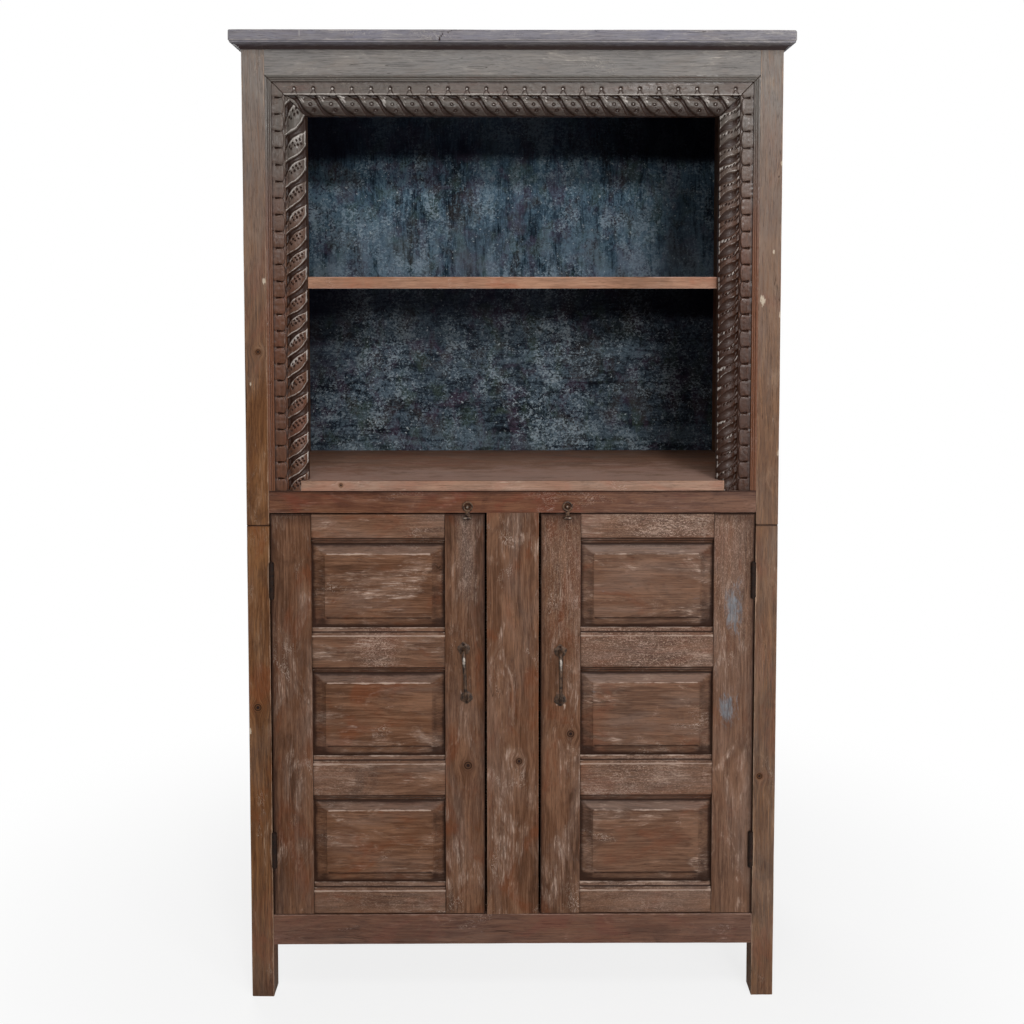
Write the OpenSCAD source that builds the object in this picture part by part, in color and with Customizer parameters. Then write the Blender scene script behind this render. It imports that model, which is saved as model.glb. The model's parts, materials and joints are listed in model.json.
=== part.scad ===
// Cabinet bookcase: an open bay with one shelf in a carved frame, over a cupboard with two panelled doors.
// X runs along the width, Y from the front to the back and Z up. The origin lies on the floor under the middle.
// The modules draw with the front face of the posts at Y = 0, and placed() moves them to the origin.

/* [Overall] */
// Height from the floor to the top of the top board
total_h = 1830; // [1520:5:2200]
// Width over the outer faces of the posts
body_w = 1000; // [830:5:1300]
// Depth from the front faces to the rear faces of the posts
body_d = 450; // [360:5:560]

/* [Top board and cornice] */
// Thickness of the top board
top_t = 20; // [16:1:36]
// How far the top board stands out over the posts at the front and the sides
top_overhang = 20; // [18:1:40]
// Height of the moulding under the top board
cornice_h = 13; // [8:1:40]
// How far the moulding stands out from the posts at its top
cornice_d = 18; // [8:1:18]
// Height of the straight lip at the top of the moulding
cornice_lip = 2.5; // [1:0.5:4]
// How far the moulding stands out from the posts at its foot
cornice_foot = 2; // [1:0.5:4]

/* [Posts and rails] */
// Width of a post, seen from the front
post_w = 42; // [40:1:60]
// Depth of a post, front to back
post_d = 45; // [44:1:60]
// Height of the legs, from the floor to the bottom rails
leg_h = 103; // [40:1:200]
// Height of the bottom rails
bottom_rail_h = 58; // [50:1:90]
// Clear height of the door openings
cupboard_h = 776; // [620:2:940]
// Height of the middle rails
middle_rail_h = 42; // [36:1:80]
// Height of the header and the other top rails
header_h = 59; // [44:1:90]
// Thickness of the rear rails
rear_rail_t = 14; // [13:1:24]
// Width of the upright between the doors
mullion_w = 100; // [60:1:140]
// How far under the middle rail the front posts are joined end to end
post_joint_drop = 24; // [10:1:40]
// Length of the stub that joins the two lengths of a front post
post_stub_l = 30; // [15:1:45]
// Side of the square stubs on the ends of the posts
post_stub_w = 18; // [12:1:20]
// Height of the stub that a post sends into the top board
top_stub_l = 10; // [5:1:12]
// Length of the tenons of the rails
tenon_l = 20; // [10:1:20]
// Thickness of the tenons of the rails and of the upright between the doors
tenon_t = 8; // [5:1:10]
// How far a tenon is set in from the upper and lower edges of its rail
tenon_shoulder = 8; // [4:1:12]
// Length of the tenons of the upright between the doors
mullion_tenon_l = 12; // [6:1:18]

/* [Panels and boards] */
// Thickness of the side boards
side_panel_t = 22; // [14:1:26]
// Depth of the rebates in the posts that take the side boards
side_rebate = 10; // [6:1:12]
// Thickness of the back panels
back_t = 10; // [6:1:16]
// Depth of the grooves in the rear posts that take the back panels
back_groove = 6; // [4:1:10]
// Thickness of the sill board under the open bay
sill_t = 19; // [14:1:30]
// How far the sill board stands out from the front
sill_proud = 3; // [0:0.5:8]
// How far the front of the sill board reaches past the opening on each side
sill_horn = 13; // [4:1:24]
// Thickness of the shelf in the open bay
shelf_t = 22; // [14:1:34]
// Place of the shelf's underside, as a share of the height of the open bay
shelf_at = 0.53; // [0.3:0.01:0.7]
// Thickness of the cupboard floor
floor_t = 18; // [14:1:24]
// How far the cupboard floor rises over the bottom rail to stop the doors
floor_lip = 8; // [4:1:12]
// Thickness of the shelf in the cupboard
inner_shelf_t = 18; // [14:1:28]
// Place of the cupboard shelf, as a share of the height of the door openings
inner_shelf_at = 0.5; // [0.3:0.01:0.7]
// How far the cupboard shelf is set back from the rails
inner_shelf_setback = 25; // [5:1:60]
// Depth of the housings in the side boards that carry the shelves
housing = 4; // [2:0.5:8]

/* [Carved frame] */
// Width of the plain strip along the posts and the header
carve_strip = 5; // [2:1:12]
// Width of the double fillet beside the strip
carve_fillet = 7; // [4:1:12]
// Width of the notched band
carve_band = 23; // [16:1:36]
// Width of the groove between the band and the rope
carve_groove = 3; // [2:0.5:6]
// Width of the carved rope
rope_w = 36; // [26:1:50]
// How far the rope's rounded face rises over its edges
rope_rise = 13; // [6:1:13]
// How far the rope stands out from the posts
rope_proud = 1; // [0:0.5:6]
// How deep the band lies behind the posts
band_sunk = 3; // [1:0.5:6]
// Distance along the rope from one strand's edge to the next
strand_pitch = 19; // [14:1:30]
// Lean of the strands from the rope's line, in degrees
strand_lean = 48; // [30:1:60]
// Diameter of the cutter that parts the strands
strand_cut_d = 7; // [4:0.5:9]
// Distance between the notches of the band
notch_pitch = 32; // [20:1:50]
// Diameter of a notch in the band
notch_d = 6; // [4:0.5:10]
// Depth of a notch in the band
notch_depth = 2; // [1:0.5:4]

/* [Doors] */
// Thickness of the doors
door_t = 22; // [20:1:30]
// Gap round each door
door_gap = 2; // [2:0.5:4]
// Gap behind each door, up to what stops it
door_stop_gap = 1; // [0.5:0.5:2]
// Width of the door stiles
stile_w = 76; // [60:1:96]
// Height of the plain face of a door's top rail
door_top_rail_h = 46; // [40:1:80]
// Height of the plain face of a door's two cross rails
door_cross_rail_h = 60; // [40:1:80]
// Height of the plain face of a door's bottom rail
door_bottom_rail_h = 44; // [40:1:80]
// Height of the moulding on the lower edge of a rail
moulding_below = 12; // [6:1:20]
// Height of the moulding on the upper edge of a rail
moulding_above = 15; // [6:1:20]
// How deep the mouldings slope back to the panel
moulding_sunk = 7; // [4:0.5:8]
// Length of the tenons of the door rails
door_tenon_l = 30; // [15:1:45]
// Thickness of the tongue round a door panel
tongue_t = 6; // [4:0.5:8]
// Depth of the grooves that take the tongues
tongue_groove = 8; // [6:1:12]
// How deep a panel's raised field lies behind the door's face
field_sunk = 4; // [2:0.5:5]
// Height of the little step round the raised field
field_step = 1.5; // [0.5:0.5:2]
// Width of the bevel at the sides of a panel
bevel_side = 25; // [10:1:40]
// Width of the bevel at the top and the bottom of a panel
bevel_end = 20; // [10:1:30]

/* [Hinges] */
// Height of a hinge
hinge_h = 66; // [40:1:90]
// Distance from a door's top to the middle of its upper hinge
hinge_inset_top = 126; // [80:1:160]
// Distance from a door's bottom to the middle of its lower hinge
hinge_inset_bottom = 126; // [80:1:200]
// Diameter of the hinge knuckles
knuckle_d = 9; // [8:0.5:11]
// How far in front of the doors the hinge pins lie
knuckle_proud = 3; // [2:0.5:4]
// How far the hinge pins lie on the door's side of the gap
knuckle_inset = 3.5; // [0:0.5:3.5]
// Diameter of the hinge pins
pin_d = 4.5; // [3:0.5:5]
// Diameter of the heads of the hinge pins
pin_head_d = 7; // [5.5:0.5:8]
// Height of the heads of the hinge pins
pin_head_h = 2; // [1:0.5:4]
// Thickness of the hinge leaves
leaf_t = 1.6; // [1.4:0.1:2]
// Gap between the closed leaves
leaf_gap = 0.2; // [0.2:0.1:0.4]
// How far the leaves reach back from the hinge pin
leaf_reach = 20; // [16:1:22]
// Distance between the nails of a leaf
leaf_nail_pitch = 22; // [12:1:24]

/* [Handles] */
// How far the handles stand out from the doors
handle_reach = 30; // [22:1:45]
// Distance between the ends of a handle
handle_span = 92; // [70:1:140]
// Height of the left handle's middle over the door's bottom
handle_rise_left = 468; // [250:1:600]
// Height of the right handle's middle over the door's bottom
handle_rise_right = 463; // [250:1:600]
// Lean of the left handle, which was fitted by eye, in degrees
handle_lean_left = 3; // [0:0.5:6]
// Thickness of the handle bar at its top
bar_top_d = 8; // [6:0.5:9]
// Thickness of the handle bar at its foot
bar_foot_d = 5.5; // [4:0.5:8]
// Radius of the bends of the handle bar
bar_bend = 13; // [9:1:15]
// Thickness of the leaf-shaped ends of the handle
leaf_end_t = 2; // [1.5:0.5:3]
// Radius of the round middle of a leaf-shaped end
leaf_end_r = 9; // [7:0.5:11]
// Distance from the bar to the nail in a leaf-shaped end
handle_nail_rise = 9.5; // [8.5:0.5:11]

/* [Latches] */
// Distance from the left door's free edge to its latch
latch_inset_left = 33; // [20:1:60]
// Distance from the right door's free edge to its latch
latch_inset_right = 51; // [20:1:60]
// How far under the door's top edge the latch is hinged
latch_drop = 7; // [5:0.5:8]
// How far in front of the door the latch is hinged
latch_out = 5; // [5:0.5:8]
// Diameter of the wire of the staples
wire_d = 3; // [2:0.5:4]
// Width of the staples between the middles of their legs
staple_w = 14; // [12:1:20]
// How deep the staples and the studs are driven into the wood
driven = 13; // [8:1:18]
// Height of the stud over the hinge of the latch
hasp_rise = 21; // [19:1:24]
// Outer diameter of the ring of the hasp
hasp_ring_d = 20; // [18:0.5:22]
// Diameter of the hole of the ring
hasp_hole_d = 12.5; // [11.5:0.5:13.5]
// Thickness of the hasp
hasp_t = 2.5; // [2:0.1:2.6]
// Gap between the closed hasp and the wood
hasp_gap = 0.4; // [0.3:0.1:0.6]
// Width of the tongue of the hasp
hasp_tongue_w = 9; // [6:0.5:10]
// Outer diameter of the eye of the hasp
hasp_eye_d = 6.8; // [6:0.2:8]
// Diameter of the studs that the hasps go over
stud_d = 10; // [8:0.5:10]
// How far the studs stand out from the rail
stud_h = 8; // [6:0.5:10]

/* [Nails] */
// Diameter of the nail heads
nail_head_d = 5; // [4:0.2:5]
// Depth of the tapered nail heads
nail_head_h = 1.1; // [0.8:0.1:1.3]
// Diameter of the nail shanks
nail_d = 2.4; // [1.6:0.2:3]
// Length of the nails
nail_l = 15; // [10:1:17]
// Length of the points of the nails
nail_point = 4; // [2:1:6]

/* [Fits] */
// Clearance of each face of a tenon, tongue or housed board
fit = 0.2; // [0.1:0.05:0.4]
// Clearance all round the hinge pins, the hasps' pins and the nails
run_fit = 0.05; // [0.03:0.01:0.09]
// Clearance between the moving knuckles and the fixed metal and wood
knuckle_gap = 0.3; // [0.2:0.1:0.6]

/* [Hidden] */
$fn = 48;
// Sides of the mirrored pieces
LEFT = -1;
RIGHT = 1;
// How far a cutter or a joined block reaches past a face
over = 1;

// Levels, from the floor up
cupboard_z = leg_h + bottom_rail_h;
middle_rail_z = cupboard_z + cupboard_h;
sill_z = middle_rail_z + middle_rail_h;
bay_z = sill_z + sill_t;
case_z = total_h - top_t;
header_z = case_z - header_h;
post_joint_z = middle_rail_z - post_joint_drop;
floor_z = cupboard_z + floor_lip - floor_t;

// Distances from the middle plane
post_out = body_w / 2;
post_in = post_out - post_w;
rail_in = post_in + side_rebate;
side_in = rail_in - side_panel_t;
board_end = side_in + housing - fit;
carve_w = carve_strip + carve_fillet + carve_band + carve_groove + rope_w;
rope_r = (pow(rope_w / 2, 2) + pow(rope_rise, 2)) / (2 * rope_rise);
opening_x = post_in - carve_w;
opening_z = header_z - carve_w;

// Distances from the front faces of the posts
rail_t = door_t + door_stop_gap;
rear_post_y = body_d - post_d;
back_y = body_d - rear_rail_t - back_t;
front_y = (handle_reach - body_d) / 2;

// Places of the shelves
shelf_z = bay_z + shelf_at * (opening_z - bay_z);
inner_shelf_z = cupboard_z + inner_shelf_at * cupboard_h - inner_shelf_t / 2;

// Doors
door_z = cupboard_z + door_gap;
door_top_z = middle_rail_z - door_gap;
door_h = door_top_z - door_z;
door_free_x = mullion_w / 2 + door_gap;
door_hinge_x = post_in - door_gap;
panel_x0 = door_free_x + stile_w;
panel_x1 = door_hinge_x - stile_w;
top_rail_full = door_top_rail_h + moulding_below;
cross_rail_full = moulding_above + door_cross_rail_h + moulding_below;
bottom_rail_full = moulding_above + door_bottom_rail_h;
light_h = (door_h - top_rail_full - 2 * cross_rail_full - bottom_rail_full) / 3;
light_step = light_h + cross_rail_full;
tongue_y = (door_t - tongue_t) / 2 + 1;
handle_x = door_free_x + stile_w / 2;
// Profile of a door moulding from the panel to the plain face, as shares of its depth and of its height
MOULDING = [[1, 0], [0.7, 0.45], [0.25, 0.65], [0.2, 1]];

// Hinges and latches
hinge_x = post_in - door_gap / 2;
hinge_levels = [door_z + hinge_inset_bottom, door_top_z - hinge_inset_top];
knuckle_h = hinge_h / 3;
latch_z = door_top_z - latch_drop;

WOOD_TOP = "#85828a";
WOOD_POST = "#7a5a40";
WOOD_RAIL = "#6f4a3b";
WOOD_DOOR = "#65493b";
WOOD_EDGE = "#96735d";
WOOD_CARVED = "#5a4640";
PAINT_BACK = "#33485a";
IRON = "#2b2622";

module placed() {
    translate([0, front_y, 0])
        children();
}

// Draws the right-hand piece, or its mirror image on the left
module sided(side) {
    mirror([side == LEFT ? 1 : 0, 0, 0])
        children();
}

module block(low, high) {
    translate(low)
        cube(high - low);
}

// Joints of the carcass: each draws a tenon, or its mortise when it is grown by a clearance

module x_tenon(y_middle, z0, high, grow = 0) {
    block(
        [post_in - over, y_middle - tenon_t / 2 - grow, z0 + tenon_shoulder - grow],
        [post_in + tenon_l + grow, y_middle + tenon_t / 2 + grow, z0 + high - tenon_shoulder + grow]
    );
}

module y_tenons(z0, high, grow = 0) {
    x_middle = (rail_in + post_out) / 2;
    block(
        [x_middle - tenon_t / 2 - grow, post_d - tenon_l - grow, z0 + tenon_shoulder - grow],
        [x_middle + tenon_t / 2 + grow, post_d + over, z0 + high - tenon_shoulder + grow]
    );
    block(
        [x_middle - tenon_t / 2 - grow, rear_post_y - over, z0 + tenon_shoulder - grow],
        [x_middle + tenon_t / 2 + grow, rear_post_y + tenon_l + grow, z0 + high - tenon_shoulder + grow]
    );
}

// Square stub in the middle of a post, from one level to another
module post_stub(y0, z0, z1, grow = 0) {
    x_middle = (post_in + post_out) / 2;
    y_middle = y0 + post_d / 2;
    half = post_stub_w / 2 + grow;
    block([x_middle - half, y_middle - half, z0], [x_middle + half, y_middle + half, z1]);
}

// Tenon on one end of the upright between the doors: the end is 1 for the top and -1 for the bottom
module mullion_tenon(end, grow = 0) {
    half = mullion_w / 2 - tenon_shoulder + grow;
    y_middle = rail_t / 2;
    z_face = end > 0 ? middle_rail_z : cupboard_z;
    z_in = z_face - end * over;
    z_out = z_face + end * (mullion_tenon_l + grow);
    block(
        [-half, y_middle - tenon_t / 2 - grow, min(z_in, z_out)],
        [half, y_middle + tenon_t / 2 + grow, max(z_in, z_out)]
    );
}

// Posts

module side_rebate_cut() {
    block([post_in - over, rail_t, -over], [rail_in, back_y, case_z + over]);
}

module front_post(side, z0, z1) {
    sided(side)
        difference() {
            block([post_in, 0, z0], [post_out, post_d, z1]);
            intersection() {
                side_rebate_cut();
                block([0, 0, leg_h], [post_out, body_d, total_h]);
            }
            for (rail = [[leg_h, bottom_rail_h], [middle_rail_z, middle_rail_h], [header_z, header_h]]) {
                x_tenon(rail_t / 2, rail[0], rail[1], fit);
                y_tenons(rail[0], rail[1], fit);
            }
        }
}

module front_lower_post(side) {
    color(WOOD_POST)
        difference() {
            front_post(side, 0, post_joint_z);
            sided(side) {
                post_stub(0, post_joint_z - post_stub_l - fit, post_joint_z + over, fit);
                at_hinges() {
                    hinge_recess();
                    leaf_recess(RIGHT);
                    leaf_nails(RIGHT, run_fit);
                }
            }
        }
}

module front_upper_post(side) {
    color(WOOD_POST)
        union() {
            front_post(side, post_joint_z, case_z);
            sided(side) {
                post_stub(0, post_joint_z - post_stub_l, post_joint_z + over);
                post_stub(0, case_z - over, case_z + top_stub_l);
            }
        }
}

module rear_post(side) {
    color(WOOD_POST)
        sided(side) {
            difference() {
                block([post_in, rear_post_y, 0], [post_out, body_d, case_z]);
                intersection() {
                    side_rebate_cut();
                    block([0, 0, leg_h], [post_out, body_d, total_h]);
                }
                block([post_in - over, back_y, leg_h], [post_in + back_groove, back_y + back_t, case_z + over]);
                for (rail = [[leg_h, bottom_rail_h], [middle_rail_z, middle_rail_h], [header_z, header_h]]) {
                    x_tenon(body_d - rear_rail_t / 2, rail[0], rail[1], fit);
                    y_tenons(rail[0], rail[1], fit);
                }
            }
            post_stub(rear_post_y, case_z - over, case_z + top_stub_l);
        }
}

// Top board and cornice

module top_board() {
    color(WOOD_TOP)
        difference() {
            block([-post_out - top_overhang, -top_overhang, case_z], [post_out + top_overhang, body_d, total_h]);
            for (side = [LEFT, RIGHT], y0 = [0, rear_post_y])
                sided(side)
                    post_stub(y0, case_z - over, case_z + top_stub_l + fit, fit);
        }
}

// Section of the moulding: x runs out from the post and y up to the top board. The cove is an arc from its foot
// to its lip, and its middle lies as far from the line between them as that line is long
module cornice_section() {
    foot = [cornice_foot, 0];
    lip = [cornice_d, cornice_h - cornice_lip];
    chord = lip - foot;
    cove_r = norm(chord) * sqrt(1.25);
    difference() {
        polygon([[0, 0], foot, lip, [cornice_d, cornice_h], [0, cornice_h]]);
        translate((foot + lip) / 2 + [chord[1], -chord[0]])
            circle(r = cove_r, $fn = 96);
    }
}

module cornice_front() {
    color(WOOD_TOP)
        intersection() {
            translate([-post_out - cornice_d, 0, case_z - cornice_h])
                rotate([90, 0, 90])
                    mirror([1, 0, 0])
                        linear_extrude(2 * (post_out + cornice_d))
                            cornice_section();
            translate([0, 0, case_z - cornice_h - over])
                linear_extrude(cornice_h + 2 * over)
                    polygon([
                        [-post_out - cornice_d, -cornice_d],
                        [post_out + cornice_d, -cornice_d],
                        [post_out, 0],
                        [-post_out, 0],
                    ]);
        }
}

module cornice_side(side) {
    color(WOOD_TOP)
        sided(side)
            intersection() {
                translate([post_out, body_d, case_z - cornice_h])
                    rotate([90, 0, 0])
                        linear_extrude(body_d + cornice_d)
                            cornice_section();
                translate([0, 0, case_z - cornice_h - over])
                    linear_extrude(cornice_h + 2 * over)
                        polygon([
                            [post_out, 0],
                            [post_out + cornice_d, -cornice_d],
                            [post_out + cornice_d, body_d],
                            [post_out, body_d],
                        ]);
            }
}

// Rails and the upright between the doors

module front_rail(z0, high) {
    block([-post_in, 0, z0], [post_in, rail_t, z0 + high]);
    for (side = [LEFT, RIGHT])
        sided(side)
            x_tenon(rail_t / 2, z0, high);
}

module header_rail() {
    color(WOOD_TOP)
        front_rail(header_z, header_h);
}

module middle_rail() {
    color(WOOD_RAIL)
        difference() {
            front_rail(middle_rail_z, middle_rail_h);
            mullion_tenon(1, fit);
            at_latch(LEFT)
                stud(run_fit);
            at_latch(RIGHT)
                stud(run_fit);
        }
}

module bottom_rail() {
    color(WOOD_RAIL)
        difference() {
            front_rail(leg_h, bottom_rail_h);
            mullion_tenon(-1, fit);
        }
}

module mullion() {
    color(WOOD_DOOR)
        union() {
            block([-mullion_w / 2, 0, cupboard_z], [mullion_w / 2, rail_t, middle_rail_z]);
            mullion_tenon(1);
            mullion_tenon(-1);
        }
}

module side_rail(side, z0, high) {
    color(WOOD_RAIL)
        sided(side) {
            block([rail_in, post_d, z0], [post_out, rear_post_y, z0 + high]);
            y_tenons(z0, high);
        }
}

module rear_rail(z0, high) {
    color(WOOD_RAIL) {
        block([-post_in, body_d - rear_rail_t, z0], [post_in, body_d, z0 + high]);
        for (side = [LEFT, RIGHT])
            sided(side)
                x_tenon(body_d - rear_rail_t / 2, z0, high);
    }
}

// Boards and panels

module housed_board(z0, thick, y0, grow = 0) {
    block([-board_end - grow, y0 - grow, z0 - grow], [board_end + grow, back_y + grow, z0 + thick + grow]);
}

module sill_board() {
    color(WOOD_EDGE)
        union() {
            housed_board(sill_z, sill_t, rail_t);
            sill_front();
        }
}

module sill_front(grow = 0) {
    reach = opening_x + sill_horn + grow;
    block([-reach, -sill_proud - grow, sill_z - grow], [reach, rail_t + over, bay_z + grow]);
}

module display_shelf() {
    color(WOOD_EDGE)
        housed_board(shelf_z, shelf_t, rail_t);
}

module cupboard_floor() {
    color(WOOD_DOOR)
        housed_board(floor_z, floor_t, rail_t);
}

module cupboard_shelf() {
    color(WOOD_DOOR)
        housed_board(inner_shelf_z, inner_shelf_t, rail_t + inner_shelf_setback);
}

module side_boards(side) {
    color(WOOD_POST)
        sided(side)
            difference() {
                block([side_in, rail_t, leg_h], [rail_in, back_y, case_z]);
                housed_board(sill_z, sill_t, rail_t, fit);
                housed_board(shelf_z, shelf_t, rail_t, fit);
                housed_board(floor_z, floor_t, rail_t, fit);
                housed_board(inner_shelf_z, inner_shelf_t, rail_t + inner_shelf_setback, fit);
            }
}

module back_panel(z0, z1) {
    reach = post_in + back_groove - fit;
    color(PAINT_BACK)
        block([-reach, back_y, z0], [reach, back_y + back_t, z1]);
}

// Carved frame

// Section of the frame: x runs from the post to the opening and y from the front to the back
module carved_section() {
    fillet_x = carve_strip + carve_fillet / 4;
    band_x = carve_strip + carve_fillet;
    groove_x = band_x + carve_band;
    rope_x = groove_x + carve_groove;
    difference() {
        square([carve_w, rail_t]);
        translate([band_x, -over])
            square([carve_band, over + band_sunk]);
        translate([groove_x, -over])
            square([carve_groove, over + band_sunk + 1]);
        translate([rope_x, -over])
            square([rope_w + over, over + rope_rise - rope_proud]);
    }
    for (i = [0, 1])
        translate([fillet_x + i * carve_fillet / 2, 0])
            circle(d = carve_fillet / 2);
    intersection() {
        translate([rope_x + rope_w / 2, rope_r - rope_proud])
            circle(r = rope_r, $fn = 96);
        translate([rope_x, -rope_proud - over])
            square([rope_w, rail_t]);
    }
}

// Cuts between the strands and notches in the band, for a frame piece whose section runs along Z from 0
module carved_cuts(long, lean) {
    band_x = carve_strip + carve_fillet + carve_band / 2;
    rope_x = carve_w - rope_w / 2;
    cut_l = (rope_w - 4) / sin(strand_lean) - strand_cut_d;
    for (z = [strand_pitch / 2 : strand_pitch : long])
        translate([rope_x, strand_cut_d / 2 - rope_proud - 2.5, z])
            rotate([0, lean, 0])
                cylinder(d = strand_cut_d, h = cut_l, center = true, $fn = 24);
    for (z = [notch_pitch / 2 : notch_pitch : long])
        translate([band_x, band_sunk + notch_depth, z])
            rotate([90, 0, 0])
                cylinder(d = notch_d, h = notch_depth + over, $fn = 24);
}

module carved_side(side) {
    long = header_z - sill_z;
    color(WOOD_CARVED)
        sided(side)
            difference() {
                intersection() {
                    translate([post_in, 0, sill_z])
                        mirror([1, 0, 0])
                            difference() {
                                linear_extrude(long)
                                    carved_section();
                                carved_cuts(long, side * -strand_lean);
                            }
                    rotate([90, 0, 0])
                        translate([0, 0, -body_d])
                            linear_extrude(2 * body_d)
                                polygon([
                                    [opening_x, sill_z],
                                    [post_in, sill_z],
                                    [post_in, header_z],
                                    [opening_x, opening_z],
                                ]);
                }
                sill_front(fit);
            }
}

module carved_top() {
    long = 2 * post_in;
    color(WOOD_CARVED)
        intersection() {
            translate([-post_in, 0, header_z])
                rotate([0, 90, 0])
                    difference() {
                        linear_extrude(long)
                            carved_section();
                        carved_cuts(long, -strand_lean);
                    }
            rotate([90, 0, 0])
                translate([0, 0, -body_d])
                    linear_extrude(2 * body_d)
                        polygon([
                            [-post_in, header_z],
                            [post_in, header_z],
                            [opening_x, opening_z],
                            [-opening_x, opening_z],
                        ]);
        }
}

// Doors

// Level of the lower edge of a panel's opening: 0 is the lowest
function light_z(i) = door_z + bottom_rail_full + i * light_step;

module door_groove(x_face, dir) {
    block(
        [
            min(x_face - dir * over, x_face + dir * tongue_groove),
            tongue_y - fit,
            door_z + bottom_rail_full - tongue_groove
        ],
        [
            max(x_face - dir * over, x_face + dir * tongue_groove),
            tongue_y + tongue_t + fit,
            door_top_z - top_rail_full + tongue_groove
        ]
    );
}

// Tenons at both ends of a door rail whose plain face has this level and height
module door_tenons(z0, high, grow = 0) {
    block(
        [panel_x0 - door_tenon_l - grow, door_t / 2 - tenon_t / 2 - grow, z0 + tenon_shoulder - grow],
        [panel_x1 + door_tenon_l + grow, door_t / 2 + tenon_t / 2 + grow, z0 + high - tenon_shoulder + grow]
    );
}

module all_door_tenons(grow) {
    door_tenons(door_z, door_bottom_rail_h, grow);
    for (i = [0, 1])
        door_tenons(light_z(i) + light_h + moulding_below, door_cross_rail_h, grow);
    door_tenons(door_top_z - door_top_rail_h, door_top_rail_h, grow);
}

module hinge_stile(side) {
    color(WOOD_DOOR)
        sided(side)
            difference() {
                block([panel_x1, 0, door_z], [door_hinge_x, door_t, door_top_z]);
                door_groove(panel_x1, 1);
                all_door_tenons(fit);
                at_hinges() {
                    hinge_recess();
                    leaf_recess(LEFT);
                    leaf_nails(LEFT, run_fit);
                }
            }
}

module lock_stile(side) {
    color(WOOD_DOOR)
        difference() {
            sided(side)
                difference() {
                    block([door_free_x, 0, door_z], [panel_x0, door_t, door_top_z]);
                    door_groove(panel_x0, -1);
                    all_door_tenons(fit);
                }
            at_handle(side)
                handle_nails(run_fit);
            at_latch(side)
                staple(run_fit);
        }
}

// Section of a door rail: x runs from the front to the back and y up from the rail's lower edge
module door_rail_section(below, face_h, above) {
    full = below + face_h + above;
    low_edge = below > 0 ? [for (p = MOULDING) [p[0] * moulding_sunk, p[1] * below]] : [];
    high_edge = above > 0 ? [for (p = MOULDING) [p[0] * moulding_sunk, full - p[1] * above]] : [];
    difference() {
        polygon(concat(
            [[door_t, 0]],
            low_edge,
            [[0, below], [0, below + face_h]],
            [for (i = [len(high_edge) - 1 : -1 : 0]) high_edge[i]],
            [[door_t, full]]
        ));
        if (below > 0)
            translate([tongue_y - fit, -over])
                square([tongue_t + 2 * fit, over + tongue_groove]);
        if (above > 0)
            translate([tongue_y - fit, full - tongue_groove])
                square([tongue_t + 2 * fit, over + tongue_groove]);
    }
}

module door_rail(z0, below, face_h, above) {
    translate([panel_x0, 0, z0])
        rotate([90, 0, 90])
            linear_extrude(panel_x1 - panel_x0)
                door_rail_section(below, face_h, above);
    door_tenons(z0 + below, face_h);
}

module door_top_rail(side) {
    color(WOOD_DOOR)
        difference() {
            sided(side)
                door_rail(door_top_z - top_rail_full, moulding_below, door_top_rail_h, 0);
            at_latch(side)
                staple(run_fit);
        }
}

module door_cross_rails(side) {
    color(WOOD_DOOR)
        sided(side)
            for (i = [0, 1])
                door_rail(light_z(i) + light_h, moulding_below, door_cross_rail_h, moulding_above);
}

module door_bottom_rail(side) {
    color(WOOD_DOOR)
        sided(side)
            door_rail(door_z, 0, door_bottom_rail_h, moulding_above);
}

// Section of a raised panel: x runs across the panel from its middle and y from the front to the back
module panel_section(wide, bevel) {
    half = wide / 2 + tongue_groove - over;
    slope_end = wide / 2 - bevel;
    back = tongue_y + tongue_t;
    polygon([
        [-half, back],
        [-half, tongue_y],
        [-wide / 2, tongue_y],
        [-slope_end, field_sunk + field_step],
        [-slope_end, field_sunk],
        [slope_end, field_sunk],
        [slope_end, field_sunk + field_step],
        [wide / 2, tongue_y],
        [half, tongue_y],
        [half, back],
    ]);
}

module door_panel() {
    wide = panel_x1 - panel_x0;
    reach = wide + light_h;
    intersection() {
        translate([0, 0, -reach])
            linear_extrude(2 * reach)
                panel_section(wide, bevel_side);
        translate([-reach, 0, 0])
            rotate([0, 90, 0])
                linear_extrude(2 * reach)
                    panel_section(light_h, bevel_end);
    }
}

module door_panels(side) {
    color(WOOD_DOOR)
        sided(side)
            for (i = [0, 1, 2])
                translate([(panel_x0 + panel_x1) / 2, 0, light_z(i) + light_h / 2])
                    door_panel();
}

// Hinges: drawn from the middle of the gap, with the post on the +X side and the door on the -X side

module at_hinges() {
    for (z = hinge_levels)
        translate([hinge_x, -knuckle_proud, z])
            children();
}

module hinge_recess() {
    half = hinge_h / 2 + pin_head_h + over / 2;
    knuckle(-half, half, knuckle_d + 4 * knuckle_gap);
}

module leaf_recess(side) {
    sided(side)
        block([0, 0, -hinge_h / 2 - fit], [leaf_gap / 2 + leaf_t, leaf_reach + fit, hinge_h / 2 + fit]);
}

// Forged nail with a flush tapered head, driven along +X from X = 0
module nail(grow = 0) {
    rotate([0, 90, 0]) {
        translate([0, 0, -grow])
            cylinder(d1 = nail_head_d + 2 * grow, d2 = nail_d + 2 * grow, h = nail_head_h + grow);
        cylinder(d = nail_d + 2 * grow, h = nail_l - nail_point);
        translate([0, 0, nail_l - nail_point])
            cylinder(d1 = nail_d + 2 * grow, d2 = nail_d / 3 + 2 * grow, h = nail_point + grow);
    }
}

module leaf_nails(side, grow = 0) {
    sided(side)
        for (i = [-1, 0, 1])
            translate([leaf_gap / 2, knuckle_proud + (leaf_reach - knuckle_proud) / 2, i * leaf_nail_pitch])
                nail(grow);
}

// Round length on the hinge pin, from one level to another
module knuckle(from, to, d) {
    translate([-knuckle_inset, 0, from])
        cylinder(d = d, h = to - from);
}

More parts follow.
